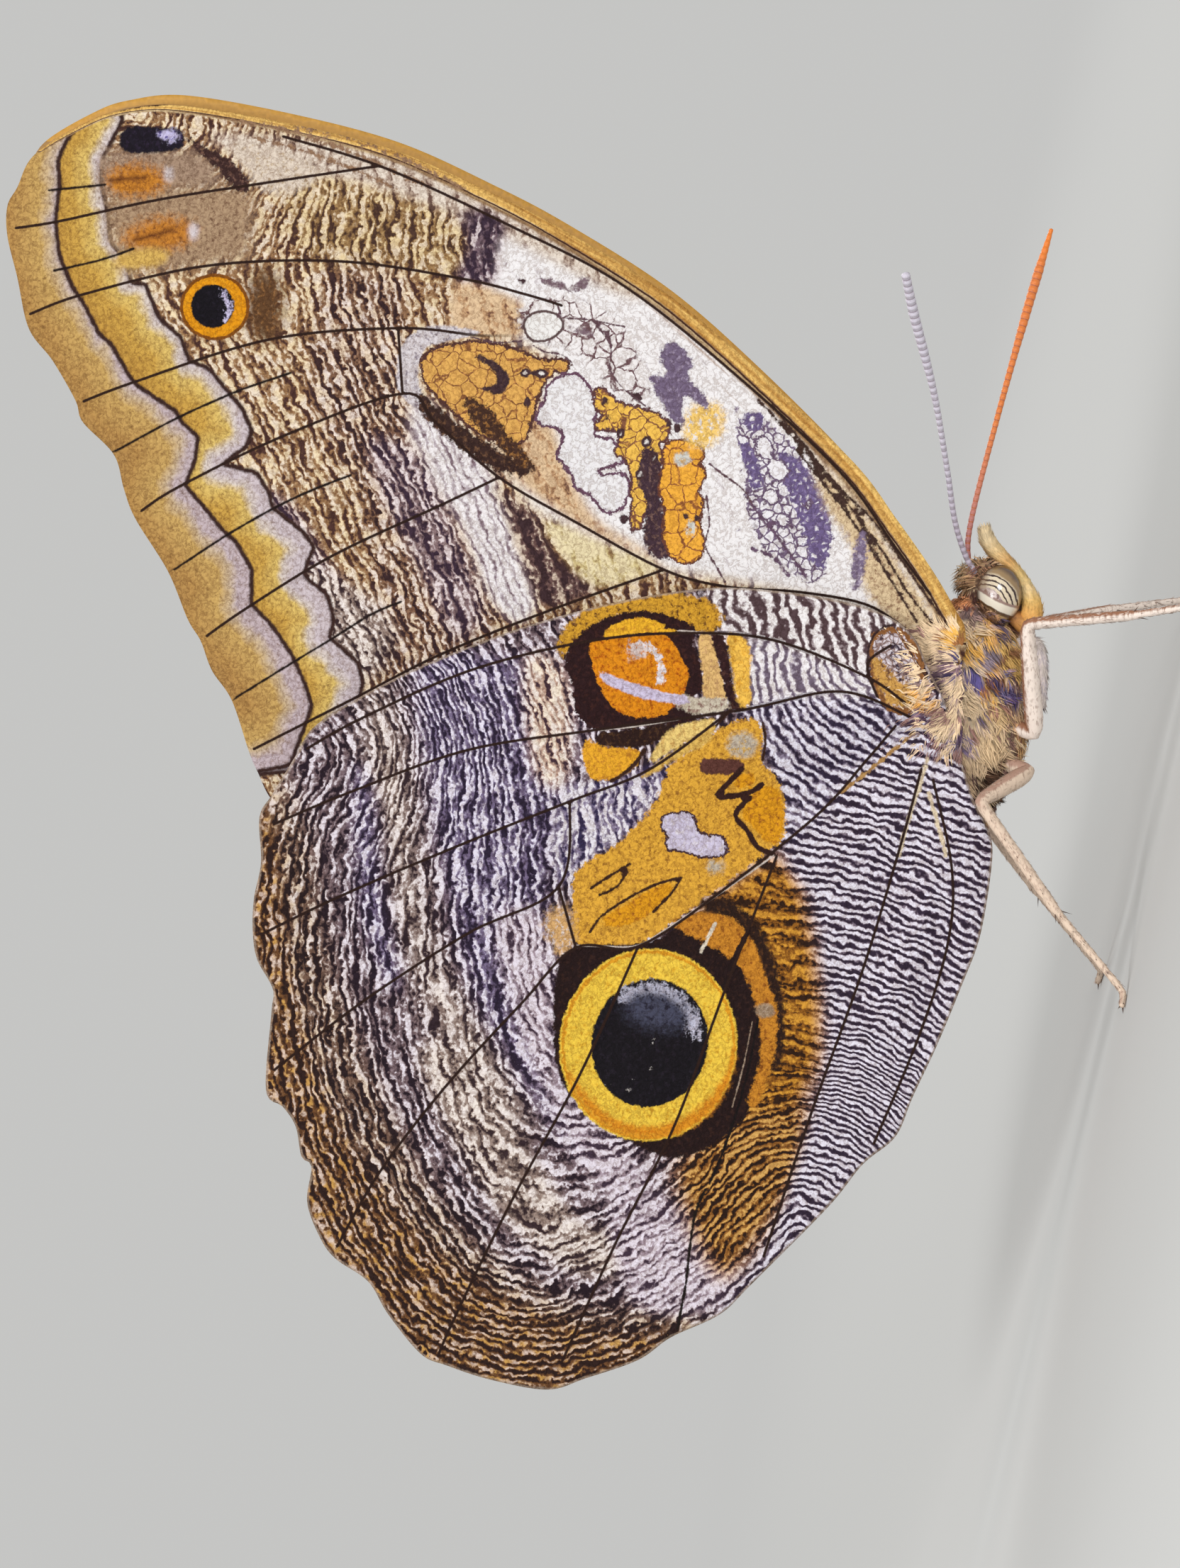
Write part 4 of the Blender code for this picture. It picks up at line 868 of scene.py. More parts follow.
HINDWING_MARKS = {
    "cell_gold": patch(
        [(813, 1331), (808, 1280), (809, 1238), (830, 1213), (870, 1190), (900, 1160), (925, 1130),
        (945, 1080), (985, 1050), (1010, 1030), (1040, 1016), (1068, 1016), (1076, 1040), (1072, 1070),
        (1099, 1108), (1106, 1141), (1103, 1181), (1070, 1210), (1000, 1262), (950, 1300), (899, 1331)],
        fill=(228, 172, 60), speck=(176, 124, 44), soft=0.12, rough=0.5),
    "cell_grey": patch(
        oval(1046, 1050, 22, 18), oval(1008, 1222, 14, 10), fill=(190, 178, 160), speck=(214, 172, 90),
        soft=0.3, rough=0.4),
    "cell_orange": patch(
        [(1060, 1118), (1076, 1107), (1095, 1114), (1104, 1140), (1103, 1170), (1094, 1190), (1076, 1184),
        (1060, 1164), (1046, 1148)], [(1030, 1104), (1050, 1090), (1066, 1098), (1050, 1112)],
        [(845, 1300), (880, 1276), (930, 1248), (950, 1250), (925, 1282), (880, 1305)],
        fill=(224, 156, 26), speck=(176, 110, 28), soft=0.1, rough=0.3),
    "cell_lilac": patch(
        [(931, 1163), (939, 1149), (971, 1145), (981, 1159), (989, 1177), (1014, 1177), (1026, 1195),
        (1021, 1206), (989, 1208), (960, 1200), (935, 1196), (941, 1181)], fill=LILAC,
        speck=(226, 220, 230), soft=0.06, rough=0.3, rim=(70, 46, 52), rim_half=0.07),
    "cell_bar": patch(
        [(985, 1072), (1005, 1070), (1040, 1071), (1050, 1080), (1044, 1091), (1010, 1092), (988, 1090)],
        fill=(96, 58, 50), soft=0.08, rough=0.25),
    "cell_ink": stroke(
        [(1046, 1084), (1024, 1106), (1010, 1124), (1042, 1121), (1060, 1116), (1074, 1106)],
        [(1056, 1125), (1036, 1149), (1052, 1170), (1068, 1195), (1090, 1204)], half=0.2,
        fill=(54, 30, 26), rough=0.12),
    "cell_hairs": stroke(
        [(832, 1314), (850, 1290), (890, 1264), (930, 1245), (960, 1238)], [(960, 1238), (946, 1260),
        (920, 1286)], [(834, 1252), (858, 1236), (888, 1218)], [(846, 1262), (870, 1250), (884, 1230)],
        [(1002, 1030), (1020, 1012), (1030, 1000)], [(1074, 1020), (1078, 1046), (1074, 1072)], half=0.1,
        fill=(58, 34, 24), rough=0.12),
    "lens_gold_zone": patch(
        [(786, 912), (798, 884), (825, 862), (860, 846), (900, 838), (940, 836), (975, 842), (1003, 850),
        (1014, 868), (1018, 884), (985, 894), (960, 886), (930, 872), (890, 868), (850, 880), (815, 905),
        (795, 930)], fill=(214, 160, 48), speck=(104, 64, 28), soft=0.2, rough=0.6),
    "lens_black": patch(
        [(801, 916), (814, 899), (849, 874), (896, 863), (931, 866), (964, 877), (982, 888), (976, 906),
        (989, 940), (990, 978), (976, 984), (989, 1010), (960, 1021), (896, 1026), (849, 1031),
        (821, 1020), (810, 991), (806, 963), (796, 938)], fill=(44, 22, 24), speck=(64, 34, 30),
        soft=0.08, rough=0.4),
    "lens_top": patch(
        [(848, 897), (864, 882), (896, 872), (921, 875), (946, 887), (958, 892), (903, 893), (867, 900)],
        fill=(240, 182, 44), speck=(214, 150, 44), soft=0.06, rough=0.2),
    "lens": patch(
        [(831, 909), (867, 901), (903, 896), (939, 897), (958, 925), (971, 952), (964, 974), (946, 1002),
        (917, 1013), (885, 1010), (864, 998), (849, 977), (837, 945)], fill=(226, 142, 22),
        speck=(180, 92, 10), soft=0.06, rough=0.25),
    "lens_tan": patch(
        [(984, 898), (1004, 898), (1012, 930), (1020, 960), (1026, 985), (1008, 1000), (992, 990),
        (990, 950)], fill=(226, 186, 120), speck=(202, 160, 110), soft=0.08, rough=0.2),
    "lens_band_black": patch(
        [(1002, 894), (1018, 895), (1026, 925), (1032, 960), (1038, 985), (1052, 1000), (1036, 1004),
        (1024, 985), (1016, 950), (1008, 920)], fill=(50, 26, 28), speck=(80, 50, 44), soft=0.07,
        rough=0.3),
    "lens_band_yellow": patch(
        [(1022, 896), (1048, 900), (1058, 925), (1056, 960), (1058, 992), (1044, 998), (1036, 980),
        (1032, 950), (1027, 918)], fill=(246, 196, 84), speck=(236, 176, 60), soft=0.14, rough=0.3),
    "lens_grey": patch(
        [(940, 982), (985, 984), (1022, 986), (1026, 1000), (985, 1008), (960, 1000)],
        fill=(206, 196, 176), speck=(150, 120, 110), soft=0.12, rough=0.35),
    "lens_arc": patch(
        [(886, 908), (906, 906), (924, 914), (936, 930), (938, 950), (932, 968), (924, 968), (928, 948),
        (926, 934), (914, 920), (900, 916)], fill=(228, 224, 232), speck=(226, 180, 120), soft=0.07,
        rough=0.35),
    "lens_specks": patch(
        oval(898, 918, 18, 10), fill=(216, 200, 196), speck=(206, 120, 30), soft=0.3, rough=0.9),
    "lens_streak": patch(
        [(844, 948), (856, 950), (880, 960), (910, 969), (940, 978), (972, 984), (968, 994), (930, 990),
        (900, 984), (870, 972), (850, 962)], fill=(208, 198, 224), speck=(190, 178, 204), soft=0.07,
        rough=0.15),
    "rs_black": patch(
        [(842, 1034), (880, 1031), (940, 1021), (950, 1026), (932, 1044), (900, 1054), (870, 1054),
        (845, 1050)], fill=(46, 26, 22), speck=(80, 54, 34), soft=0.08, rough=0.3),
    "rs_gold": patch(
        [(828, 1040), (845, 1052), (890, 1056), (906, 1062), (890, 1086), (860, 1100), (832, 1096),
        (822, 1066)], fill=(236, 172, 44), speck=(210, 144, 44), soft=0.1, rough=0.3),
    "rs_edge": stroke(
        [(908, 1058), (896, 1076), (878, 1092), (862, 1102)], half=0.14, fill=(60, 36, 26), rough=0.15),
    "rs_wedge": patch(
        [(948, 1027), (1006, 1013), (1000, 1024), (944, 1060), (912, 1078), (926, 1052)],
        fill=(238, 208, 126), speck=(206, 164, 92), soft=0.1, rough=0.2),
    "rs_wedge_lower": patch(
        [(1008, 1020), (996, 1050), (960, 1066), (926, 1088), (900, 1098), (940, 1066), (985, 1036)],
        fill=(228, 188, 96), speck=(190, 144, 66), soft=0.12, rough=0.2),
    "eye_shade": patch(
        [(768, 1300), (800, 1276), (810, 1330), (790, 1345)], fill=(214, 170, 112), speck=(228, 216, 210),
        soft=0.5, rough=0.8),
    "humeral_oval": patch(
        [(1226, 906), (1240, 893), (1262, 890), (1282, 906), (1294, 940), (1296, 975), (1286, 1000),
        (1262, 1004), (1240, 988), (1228, 950)], fill=(150, 126, 122), speck=(78, 60, 70), soft=0.1,
        rough=0.4, rim=(146, 98, 56), rim_half=0.17, net=(2.6, 0.07, (222, 214, 222))),
    "humeral_gold": patch(
        [(1226, 930), (1240, 934), (1252, 950), (1268, 962), (1284, 970), (1288, 992), (1264, 1000),
        (1242, 986), (1230, 958)], fill=(206, 158, 82), speck=(112, 76, 56), soft=0.2, rough=0.7),
    "humeral_line": stroke(
        [(1222, 952), (1221, 920), (1232, 894), (1256, 883), (1280, 896), (1298, 930), (1303, 975)],
        half=0.09, fill=(56, 38, 40), rough=0.12),
    "humeral_spots": patch(
        oval(1256, 912, 4, 6), oval(1268, 922, 5, 5), oval(1256, 928, 4, 4), oval(1272, 938, 5, 4),
        oval(1262, 944, 4, 5), oval(1276, 952, 4, 5), oval(1266, 960, 4, 4), fill=(226, 222, 230),
        soft=0.05, rough=0.2, rim=(58, 44, 62), rim_half=0.06),
    "eye_arc": patch(
        [(985, 1268), (1020, 1268), (1058, 1290), (1082, 1330), (1098, 1380), (1106, 1430), (1104, 1480),
        (1092, 1510), (1082, 1500), (1086, 1440), (1076, 1385), (1056, 1335), (1030, 1300), (1000, 1288)],
        fill=(44, 26, 20), speck=(84, 52, 28), soft=0.25, rough=0.5),
    "eye_surround": patch(
        [(782, 1480), (781, 1420), (786, 1370), (800, 1340), (850, 1332), (900, 1331), (940, 1316),
        (975, 1290), (1000, 1290), (1030, 1310), (1052, 1360), (1068, 1420), (1074, 1480), (1066, 1540),
        (1046, 1580), (1020, 1602), (985, 1624), (950, 1632), (915, 1622), (870, 1600), (820, 1560),
        (790, 1520)], fill=(36, 20, 20), speck=(54, 32, 26), soft=0.09, rough=0.3),
    "eye_lunule": patch(
        [(948, 1300), (975, 1290), (1007, 1287), (1036, 1298), (1062, 1328), (1080, 1380), (1095, 1425),
        (1093, 1475), (1082, 1520), (1066, 1560), (1054, 1552), (1068, 1505), (1072, 1462), (1064, 1412),
        (1048, 1370), (1020, 1345), (995, 1330), (965, 1316)], fill=(204, 136, 42), speck=(150, 88, 26),
        soft=0.12, rough=0.4),
    "eye_lunule_split": stroke(
        [(1056, 1310), (1040, 1340), (1022, 1372)], half=0.18, fill=(36, 20, 20), rough=0.15),
    "eye_lunule_grey": patch(
        oval(1078, 1424, 15, 11), fill=(160, 136, 110), speck=(190, 170, 150), soft=0.14, rough=0.25),
    "eye_streak": stroke(
        [(1008, 1302), (1000, 1318), (988, 1342)], half=0.12, fill=(226, 218, 200), rough=0.12),
    "eye_ring": patch(
        oval(914, 1473, 125, 136, 8), fill=(242, 204, 72), speck=(226, 176, 50), soft=0.07, rough=0.2),
    "eye_ring_edge": patch(
        oval(914, 1473, 120, 131, 8), fill=(242, 204, 72), speck=(226, 176, 50), soft=0.07, rough=0.25,
        rim=(224, 158, 36), rim_half=0.1),
    "eye_ring_warm": patch(
        [(800, 1510), (826, 1562), (868, 1594), (915, 1604), (966, 1592), (1012, 1556), (1034, 1506),
        (1034, 1476), (1024, 1510), (1000, 1546), (960, 1576), (915, 1588), (870, 1578), (834, 1548)],
        fill=(222, 146, 32), speck=(212, 128, 24), soft=0.3, rough=0.4),
    "eye_pupil": patch(
        oval(916, 1470, 82, 91, 14), fill=(22, 18, 24), speck=(34, 28, 38), soft=0.07, rough=0.2),
    "eye_powder": patch(
        [(872, 1402), (900, 1388), (935, 1388), (965, 1404), (984, 1436), (988, 1462), (976, 1460),
        (962, 1430), (936, 1408), (905, 1404), (884, 1416)], fill=(208, 208, 228), speck=(44, 42, 62),
        soft=0.25, rough=1.0),
    "eye_haze": patch(
        oval(926, 1424, 46, 26, 14), fill=(70, 72, 92), speck=(40, 38, 54), soft=0.8, rough=0.9),
    "eye_specks": patch(
        oval(856, 1530, 4, 4), oval(884, 1536, 4, 5), oval(948, 1494, 3, 3), oval(918, 1506, 2.5, 3.5),
        oval(922, 1468, 3, 6, 40), oval(892, 1520, 3, 3), fill=(214, 210, 206), soft=0.08, rough=0.3),
    # The fold: a dark line with a pale one beside it, painted shade in the crease and a painted highlight
    # on its edge.
    "fold": stroke(
        [(1068, 1436), (1056, 1500), (1040, 1560), (1020, 1620), (1000, 1668)], half=0.09,
        fill=(24, 16, 16), rough=0.1),
    "fold_light": stroke(
        [(1060, 1440), (1048, 1500), (1032, 1560)], half=0.03, fill=(170, 150, 130), rough=0.1),
    # The tear is real damage, drawn as a dark line: painted shade of the gap that the slit would show.
    "tear": stroke(
        [(994, 1676), (980, 1710), (972, 1760), (968, 1800), (960, 1846), (954, 1878)], half=0.1,
        fill=(30, 22, 18), rough=0.12),
    "vein_cream": stroke(
        [(1304, 1070), (1294, 1106), (1280, 1150), (1264, 1206)], [(1306, 1118), (1318, 1160),
        (1330, 1206)], half=0.13, fill=(226, 210, 180), soft=0.08, rough=0.2),
    "vein_brown": stroke(
        [(1184, 1118), (1236, 1076), (1284, 1036)], half=0.12, fill=(178, 138, 84), soft=0.08,
        rough=0.25),
    "vein_white": stroke(
        [(955, 890), (990, 893), (1024, 896)], [(845, 1030), (900, 1024), (960, 1014)], [(813, 1333),
        (850, 1334), (896, 1334), (930, 1316), (990, 1276), (1060, 1228), (1090, 1206)], half=0.06,
        fill=(214, 204, 196), soft=0.04, rough=0.03),
}


WINGS = {
    "forewing": (FOREWING_OUTLINE, FOREWING_VEINS, FOREWING_MARGIN, FOREWING_ZONES,
                 "ochre_ripple", FOREWING_MARKS),
    "hindwing": (HINDWING_OUTLINE, HINDWING_VEINS, HINDWING_MARGIN, HINDWING_ZONES,
                 "mixed", HINDWING_MARKS),
}


def wing_triangles(outline, veins, strokes):
    """One triangulation of a wing that follows its rim, veins and drawn strokes."""
    rim = smooth_path(outline, RIM_STEP, closed=True)
    closed_rim = np.vstack([rim, rim[:1]])
    points = list(rim)
    edges = []

    def add_line(line):
        inside = is_inside(line, rim) & (line_distance(line, closed_rim) > LINE_TO_RIM)
        kept = line[inside]
        first = len(points)
        points.extend(kept)
        edges.extend((first + index, first + index + 1) for index in range(len(kept) - 1))
        return kept

    centres = []
    guides = []
    for controls in veins:
        centre = add_line(smooth_path(controls, LINE_STEP))
        centres.append(centre)
        along = headings(centre)
        aside = np.stack([-along[:, 1], along[:, 0]], axis=1) * SHEET_VEIN_HALF
        guides += [centre, add_line(centre + aside), add_line(centre - aside)]
    for line in strokes:
        guides.append(add_line(smooth_path(line, LINE_STEP)))
    low = rim.min(axis=0)
    columns, rows = ((rim.max(axis=0) - low) / FIELD_STEP / np.array((ROW_SHARE, 1.0)) + 1).astype(int)
    grid = np.array([(column * ROW_SHARE, row + 0.5 * (column % 2))
                     for column in range(columns) for row in range(rows)]) * FIELD_STEP + low
    grid = grid[is_inside(grid, rim)]
    grid = grid[line_distance(grid, closed_rim) > 0.5 * RIM_STEP]
    for guide in guides:
        if len(guide) > 1:
            grid = grid[line_distance(grid, guide) > STROKE_CLEARANCE]
    points.extend(grid)
    flat = [Vector(point) for point in points]
    result = delaunay_2d_cdt(flat, edges, [list(range(len(rim)))], 1, MERGE_DISTANCE)
    return np.array([tuple(point) for point in result[0]]), np.array(result[2]), centres


def ripple_field(points, margin):
    """Distance from the outer margin, eased where its sides' ripples meet."""
    line = smooth_path(margin, MARGIN_STEP)
    near = line_distance(points, line)
    spread = np.linalg.norm(points[:, None, :] - line[None, :, :], axis=2)
    low = spread.min(axis=1)
    closeness = np.exp(-JOIN_SHARPNESS * (spread - low[:, None])).mean(axis=1)
    eased = low - np.log(closeness) / JOIN_SHARPNESS
    joining = (near > JOIN_SPAN[0]) & (near < JOIN_SPAN[1])
    eased += np.median((near - eased)[joining])
    return near + (eased - near) * ramp(*EASE_SPAN, near)


def front_ripples(points, across):
    """Bolder stripes that cross the hindwing's two front cells near its base."""
    u = PHOTO_HINGE[0] - points[:, 1] * PHOTO_PER_MM
    v = PHOTO_HINGE[1] - points[:, 0] * PHOTO_PER_MM
    run = u - STRIPE_LEAN * (v - STRIPE_START[1]) - STRIPE_START[0]
    period = np.clip(STRIPE_WIDEST - STRIPE_NARROWING * run, *STRIPE_LIMITS)
    stripes = -STRIPE_FACTOR * np.log(period / STRIPE_WIDEST) * FINE_PERIOD
    subcosta = smooth_path(HINDWING_VEINS["subcosta"], LINE_STEP)
    front = is_inside(points, np.vstack([subcosta, FRONT_CORNERS])) & (u > FRONT_FROM_U)
    across = np.where(front, stripes, across)
    radius = smooth_path(HINDWING_VEINS["radius"], LINE_STEP)
    between = is_inside(points, np.vstack([radius, subcosta[::-1]]))
    reach = np.hypot(u - ARC_CENTRE[0], (v - ARC_CENTRE[1]) * ARC_SQUASH) / PHOTO_PER_MM
    arcs = reach * FINE_PERIOD / ARC_PERIOD
    return np.where(between & (u > ARC_SPAN[0]) & (u < ARC_SPAN[1]), arcs, across)


def zone_fields(points, zones, first):
    """Blended tones, dark share and cleanness at each point."""
    def values(name):
        dark, middle, light, duty, clean, *fleck = PALETTES[name]
        return np.array([*paint(*dark), *paint(*middle), *paint(*light), duty, clean,
                         fleck[0] if fleck else 0.0])

    blended = np.tile(values(first), (len(points), 1))
    for name, softness, pixels in zones:
        depth = loop_depth(points, smooth_path(spots(pixels), 1.0, closed=True))
        share = ramp(-softness, softness, depth)[:, None]
        blended += (values(name) - blended) * share
    return blended


def mark_depth(points, mark):
    """How deep each point lies inside a marking, in mm, negative outside."""
    depth = np.full(len(points), -np.inf)
    for outline in mark.get("outlines", []):
        loop = smooth_path(spots(outline), MARK_STEP, closed=True)
        depth = np.maximum(depth, loop_depth(points, loop))
    for line in mark.get("lines", []):
        path = smooth_path(spots(line), MARK_STEP)
        depth = np.maximum(depth, mark["half"] - line_distance(points, path))
    return np.maximum(depth, -DEEPEST)


def write_field(mesh, name, kind, values):
    attribute = mesh.attributes.new(name, kind, "POINT")
    key = {"FLOAT": "value", "FLOAT_COLOR": "color", "FLOAT_VECTOR": "vector"}[kind]
    if kind == "FLOAT_COLOR":
        values = np.hstack([values, np.ones((len(values), 1))])
    attribute.data.foreach_set(key, np.asarray(values, np.float32).ravel())


def write_map(mesh, maps):
    """The mesh's own layout for baking."""
    layer = mesh.uv_layers.new(name="OFBake")
    layer.data.foreach_set("uv", np.asarray(maps, np.float32).ravel())


def add_object(name, data):
    made = bpy.data.objects.new(name, data)
    bpy.context.scene.collection.objects.link(made)
    return made


def build_sheet(kind):
    """A wing's flat triangulation and the fields that its colours read."""
    outline, veins, margin, zones, ground, marks = WINGS[kind]
    strokes = [spots(line) for mark in marks.values() for line in mark.get("lines", [])]
    flat, faces, centres = wing_triangles(outline, veins.values(), strokes)
    vein_distance = np.full(len(flat), np.inf)
    for centre in centres:
        vein_distance = np.minimum(vein_distance, line_distance(flat, centre))
    rim = smooth_path(outline, RIM_STEP, closed=True)
    tones = zone_fields(flat, zones, ground)
    fields = {"vein": vein_distance, "vein_ink": np.ones(len(flat)),
              "across": ripple_field(flat, margin),
              "rim": line_distance(flat, np.vstack([rim, rim[:1]])),
              "duty": tones[:, 9], "clean": tones[:, 10], "fleck": tones[:, 11]}
    if kind == "forewing":
        near = line_distance(flat, smooth_path(veins["radius"], LINE_STEP)) < SHEET_VEIN_HALF * 1.1
        fields["vein_ink"] = np.where(near, ramp(*RADIUS_INKED, flat[:, 1]), 1.0)
        narrowing = np.interp(flat[:, 1], *COSTA_NARROWING)
        fields["costa"] = line_distance(flat, smooth_path(FOREWING_COSTA, 1.0)) / narrowing
        fields["line_outer"] = loop_depth(flat, spots(OUTER_LINE + BEYOND_MARGIN))
        fields["line_inner"] = loop_depth(flat, spots(INNER_LINE + BEYOND_MARGIN))
    else:
        fields["across"] = front_ripples(flat, fields["across"])
    for name, mark in marks.items():
        fields["mark_" + name] = mark_depth(flat, mark)
    colours = {"tone_dark": tones[:, 0:3], "tone_mid": tones[:, 3:6], "tone_light": tones[:, 6:9]}
    return flat, faces, fields, colours


def wing_map(flat, triangles, rim):
    """The outer face over most of the map, the inner squeezed above it, and the rim on top."""
    low = flat.min(axis=0)
    place = (flat - low) / (flat.max(axis=0) - low)
    outer = np.stack([place[:, 1], place[:, 0] * OUTER_MAP_TOP], axis=1)[triangles]
    inner_low, inner_high = INNER_MAP
    inner = np.stack([place[:, 1], inner_low + place[:, 0] * (inner_high - inner_low)], axis=1)
    inner = inner[triangles[:, ::-1]]
    strips = []
    count = len(rim) // 2
    low_v, high_v = RIM_MAP
    for index in range(count):
        u = (index / count, (index + 1) / count)
        strips.append([(u[1], low_v), (u[0], low_v), (u[0], high_v)])
        strips.append([(u[1], low_v), (u[0], high_v), (u[1], high_v)])
    return np.vstack([outer, inner, np.array(strips)]).reshape(-1, 2)


def plate_faces(faces, side, count):
    """A plate's outer triangles, turned outwards, and the strips that close its rim."""
    triangles = faces if side < 0 else faces[:, ::-1]
    sides = np.sort(np.vstack([faces[:, (0, 1)], faces[:, (1, 2)], faces[:, (2, 0)]]), axis=1)
    keys, uses = np.unique(sides, axis=0, return_counts=True)
    rim_keys = set(map(tuple, keys[uses == 1]))
    rim = []
    for face in triangles:
        for start, end in zip(face, np.roll(face, -1)):
            if (min(start, end), max(start, end)) in rim_keys:
                rim.append((end, start, start + count))
                rim.append((end, start + count, end + count))
    return triangles, np.array(rim)


def build_wing(kind, side_name, side, lead_deg, sheet, finishes):
    """A closed thin wing with raised veins, the pattern's fields and a baking map."""
    flat, faces, fields, colours = sheet
    offset = forewing_offset if kind == "forewing" else hindwing_offset
    lead = math.radians(-lead_deg)
    turn = np.array(((math.cos(lead), -math.sin(lead)), (math.sin(lead), math.cos(lead))))
    x, z = (flat @ turn.T).T
    rise = SHEET_VEIN_RISE * np.clip(1 - fields["vein"] / SHEET_VEIN_HALF, 0, 1)
    middle = offset(x, z) + SHEET_BELLY * ramp(0.0, BELLY_REACH, fields["vein"])
    outer = np.stack([x, side * (middle + SHEET_HALF + rise), z], axis=1)
    inner = np.stack([x, side * (middle - SHEET_HALF - rise), z], axis=1)
    count = len(flat)
    triangles, rim = plate_faces(faces, side, count)
    all_faces = np.vstack([triangles, triangles[:, ::-1] + count, rim])
    name = kind + "_" + side_name
    mesh = bpy.data.meshes.new(name)
    mesh.from_pydata(np.vstack([outer, inner]), [], all_faces.tolist())
    for title, values in fields.items():
        write_field(mesh, title, "FLOAT", np.tile(values, 2))
    for title, values in colours.items():
        write_field(mesh, title, "FLOAT_COLOR", np.tile(values, (2, 1)))
    place = np.hstack([flat, np.zeros((count, 1))])
    write_field(mesh, "place", "FLOAT_VECTOR", np.tile(place, (2, 1)))
    for finish in finishes:
        mesh.materials.append(finish)
    write_map(mesh, wing_map(flat, triangles, rim))
    indices = np.zeros(len(all_faces), np.int32)
    indices[len(triangles):2 * len(triangles)] = 1
    mesh.polygons.foreach_set("material_index", indices)
    mesh.transform(STANCE)
    mesh.shade_smooth()
    made = add_object("fine_" + name, mesh)
    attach(made, "root")
    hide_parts(name)


def fine_piece(name, node, points, faces, finish, maps, attributes=None, normals=None):
    """A mesh drawn in the insect's frame, set in place over a node."""
    mesh = bpy.data.meshes.new("fine_" + name)
    mesh.from_pydata(np.asarray(points).tolist(), [], [tuple(face) for face in faces])
    write_field(mesh, "place", "FLOAT_VECTOR", np.asarray(points))
    for title, (kind, values) in (attributes or {}).items():
        write_field(mesh, title, kind, values)
    write_map(mesh, maps)
    mesh.materials.append(finish)
    mesh.transform(STANCE)
    mesh.shade_smooth()
    if normals is not None:
        turned = np.asarray(normals) @ np.array(STANCE.to_3x3().normalized()).T
        mesh.normals_split_custom_set_from_vertices(turned.tolist())
    made = add_object("fine_" + name, mesh)
    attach(made, "root")
    for covered in (node if isinstance(node, tuple) else (node,)):
        if covered:
            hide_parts(covered)


def ring_faces(rings, sides):
    """Quads between rings of points, capped by fans to the last two points, with their map."""
    faces = []
    maps = []
    for ring in range(rings - 1):
        for side in range(sides):
            after = (side + 1) % sides
            faces.append((ring * sides + side, (ring + 1) * sides + side,
                          (ring + 1) * sides + after, ring * sides + after))
            u = ((ring + 1) / (rings + 1), (ring + 2) / (rings + 1))
            v = (side / sides, (side + 1) / sides)
            maps += [(u[0], v[0]), (u[1], v[0]), (u[1], v[1]), (u[0], v[1])]
    start = rings * sides
    for side in range(sides):
        after = (side + 1) % sides
        v = (side / sides, (side + 0.5) / sides, (side + 1) / sides)
        faces.append((start, side, after))
        maps += [(0.2 / (rings + 1), v[1]), (1 / (rings + 1), v[0]), (1 / (rings + 1), v[2])]
        base = (rings - 1) * sides
        faces.append((start + 1, base + after, base + side))
        maps += [((rings + 0.8) / (rings + 1), v[1]), (rings / (rings + 1), v[2]),
                 (rings / (rings + 1), v[0])]
    return faces, maps


def tube(path, radii, sides):
    """Points, faces, map and attributes of a round tube that follows a path."""
    path = np.asarray(path, float)
    radii = np.asarray(radii, float)
    along = headings(path)
    aside = np.cross(along[0], (0.31, 0.87, 0.38))
    rows = []
    for place, direction, radius in zip(path, along, radii):
        aside = aside - direction * (aside @ direction)
        aside /= np.linalg.norm(aside)
        upward = np.cross(direction, aside)
        angles = 2 * math.pi * np.arange(sides) / sides
        rows.append(place + radius * (np.cos(angles)[:, None] * aside
                                      + np.sin(angles)[:, None] * upward))
    points = np.vstack(rows + [path[:1] - along[:1] * radii[0] * 0.6,
                               path[-1:] + along[-1:] * radii[-1] * 0.6])
    faces, maps = ring_faces(len(path), sides)
    faces = [face[::-1] for face in faces]
    maps = [maps[start + offset] for start, offset in map_order(faces)]
    lengths = run_lengths(path)
    run = np.concatenate([np.repeat(lengths, sides), [0, lengths[-1]]])
    return points, faces, maps, {"along": ("FLOAT", run)}


def map_order(faces):
    """Where each reversed corner's map entry stands in the list made for the faces unreversed."""
    start = 0
    for face in faces:
        for offset in reversed(range(len(face))):
            yield start, offset
        start += len(face)


def radii_along(path, values):
    """Radii at a path's points, from values spaced evenly along it."""
    lengths = run_lengths(path)
    return np.interp(lengths / lengths[-1], np.linspace(0, 1, len(values)), values)


def ellipsoid_depth(points, centre, half):
    """About how far points lie outside an ellipsoid, in mm."""
    offset = points - centre
    reach = np.linalg.norm(offset / half, axis=-1)
    slope = np.linalg.norm(offset / half ** 2, axis=-1) + 1e-9
    return reach * (reach - 1) / slope


def body_depth(points):
    """About how far points lie outside the skin, negative inside."""
    tilt = math.radians(ABDOMEN_TILT_DEG)
    offset = points - ABDOMEN_START
    along = -offset[..., 0] * math.cos(tilt) + offset[..., 2] * math.sin(tilt)
    across = offset[..., 0] * math.sin(tilt) + offset[..., 2] * math.cos(tilt)
    ringed = ABDOMEN_COAT + 0.06 * np.cos(2 * math.pi * along * ABDOMEN_RINGS / ABDOMEN_LENGTH)
    radius = abdomen_radius(np.clip(along, 0.0, ABDOMEN_LENGTH)) - ringed
    beyond = np.maximum(0, np.maximum(-along, along - ABDOMEN_LENGTH + 0.4))
    depths = [np.hypot(np.hypot(across, offset[..., 1]), beyond) - np.maximum(radius, 0.02),
              ellipsoid_depth(points, THORAX_CENTRE, THORAX_HALF - THORAX_COAT),
              ellipsoid_depth(points, HEAD_CENTRE, HEAD_HALF - HEAD_COAT)]
    return -SKIN_BLEND * np.log(sum(np.exp(-depth / SKIN_BLEND) for depth in depths))


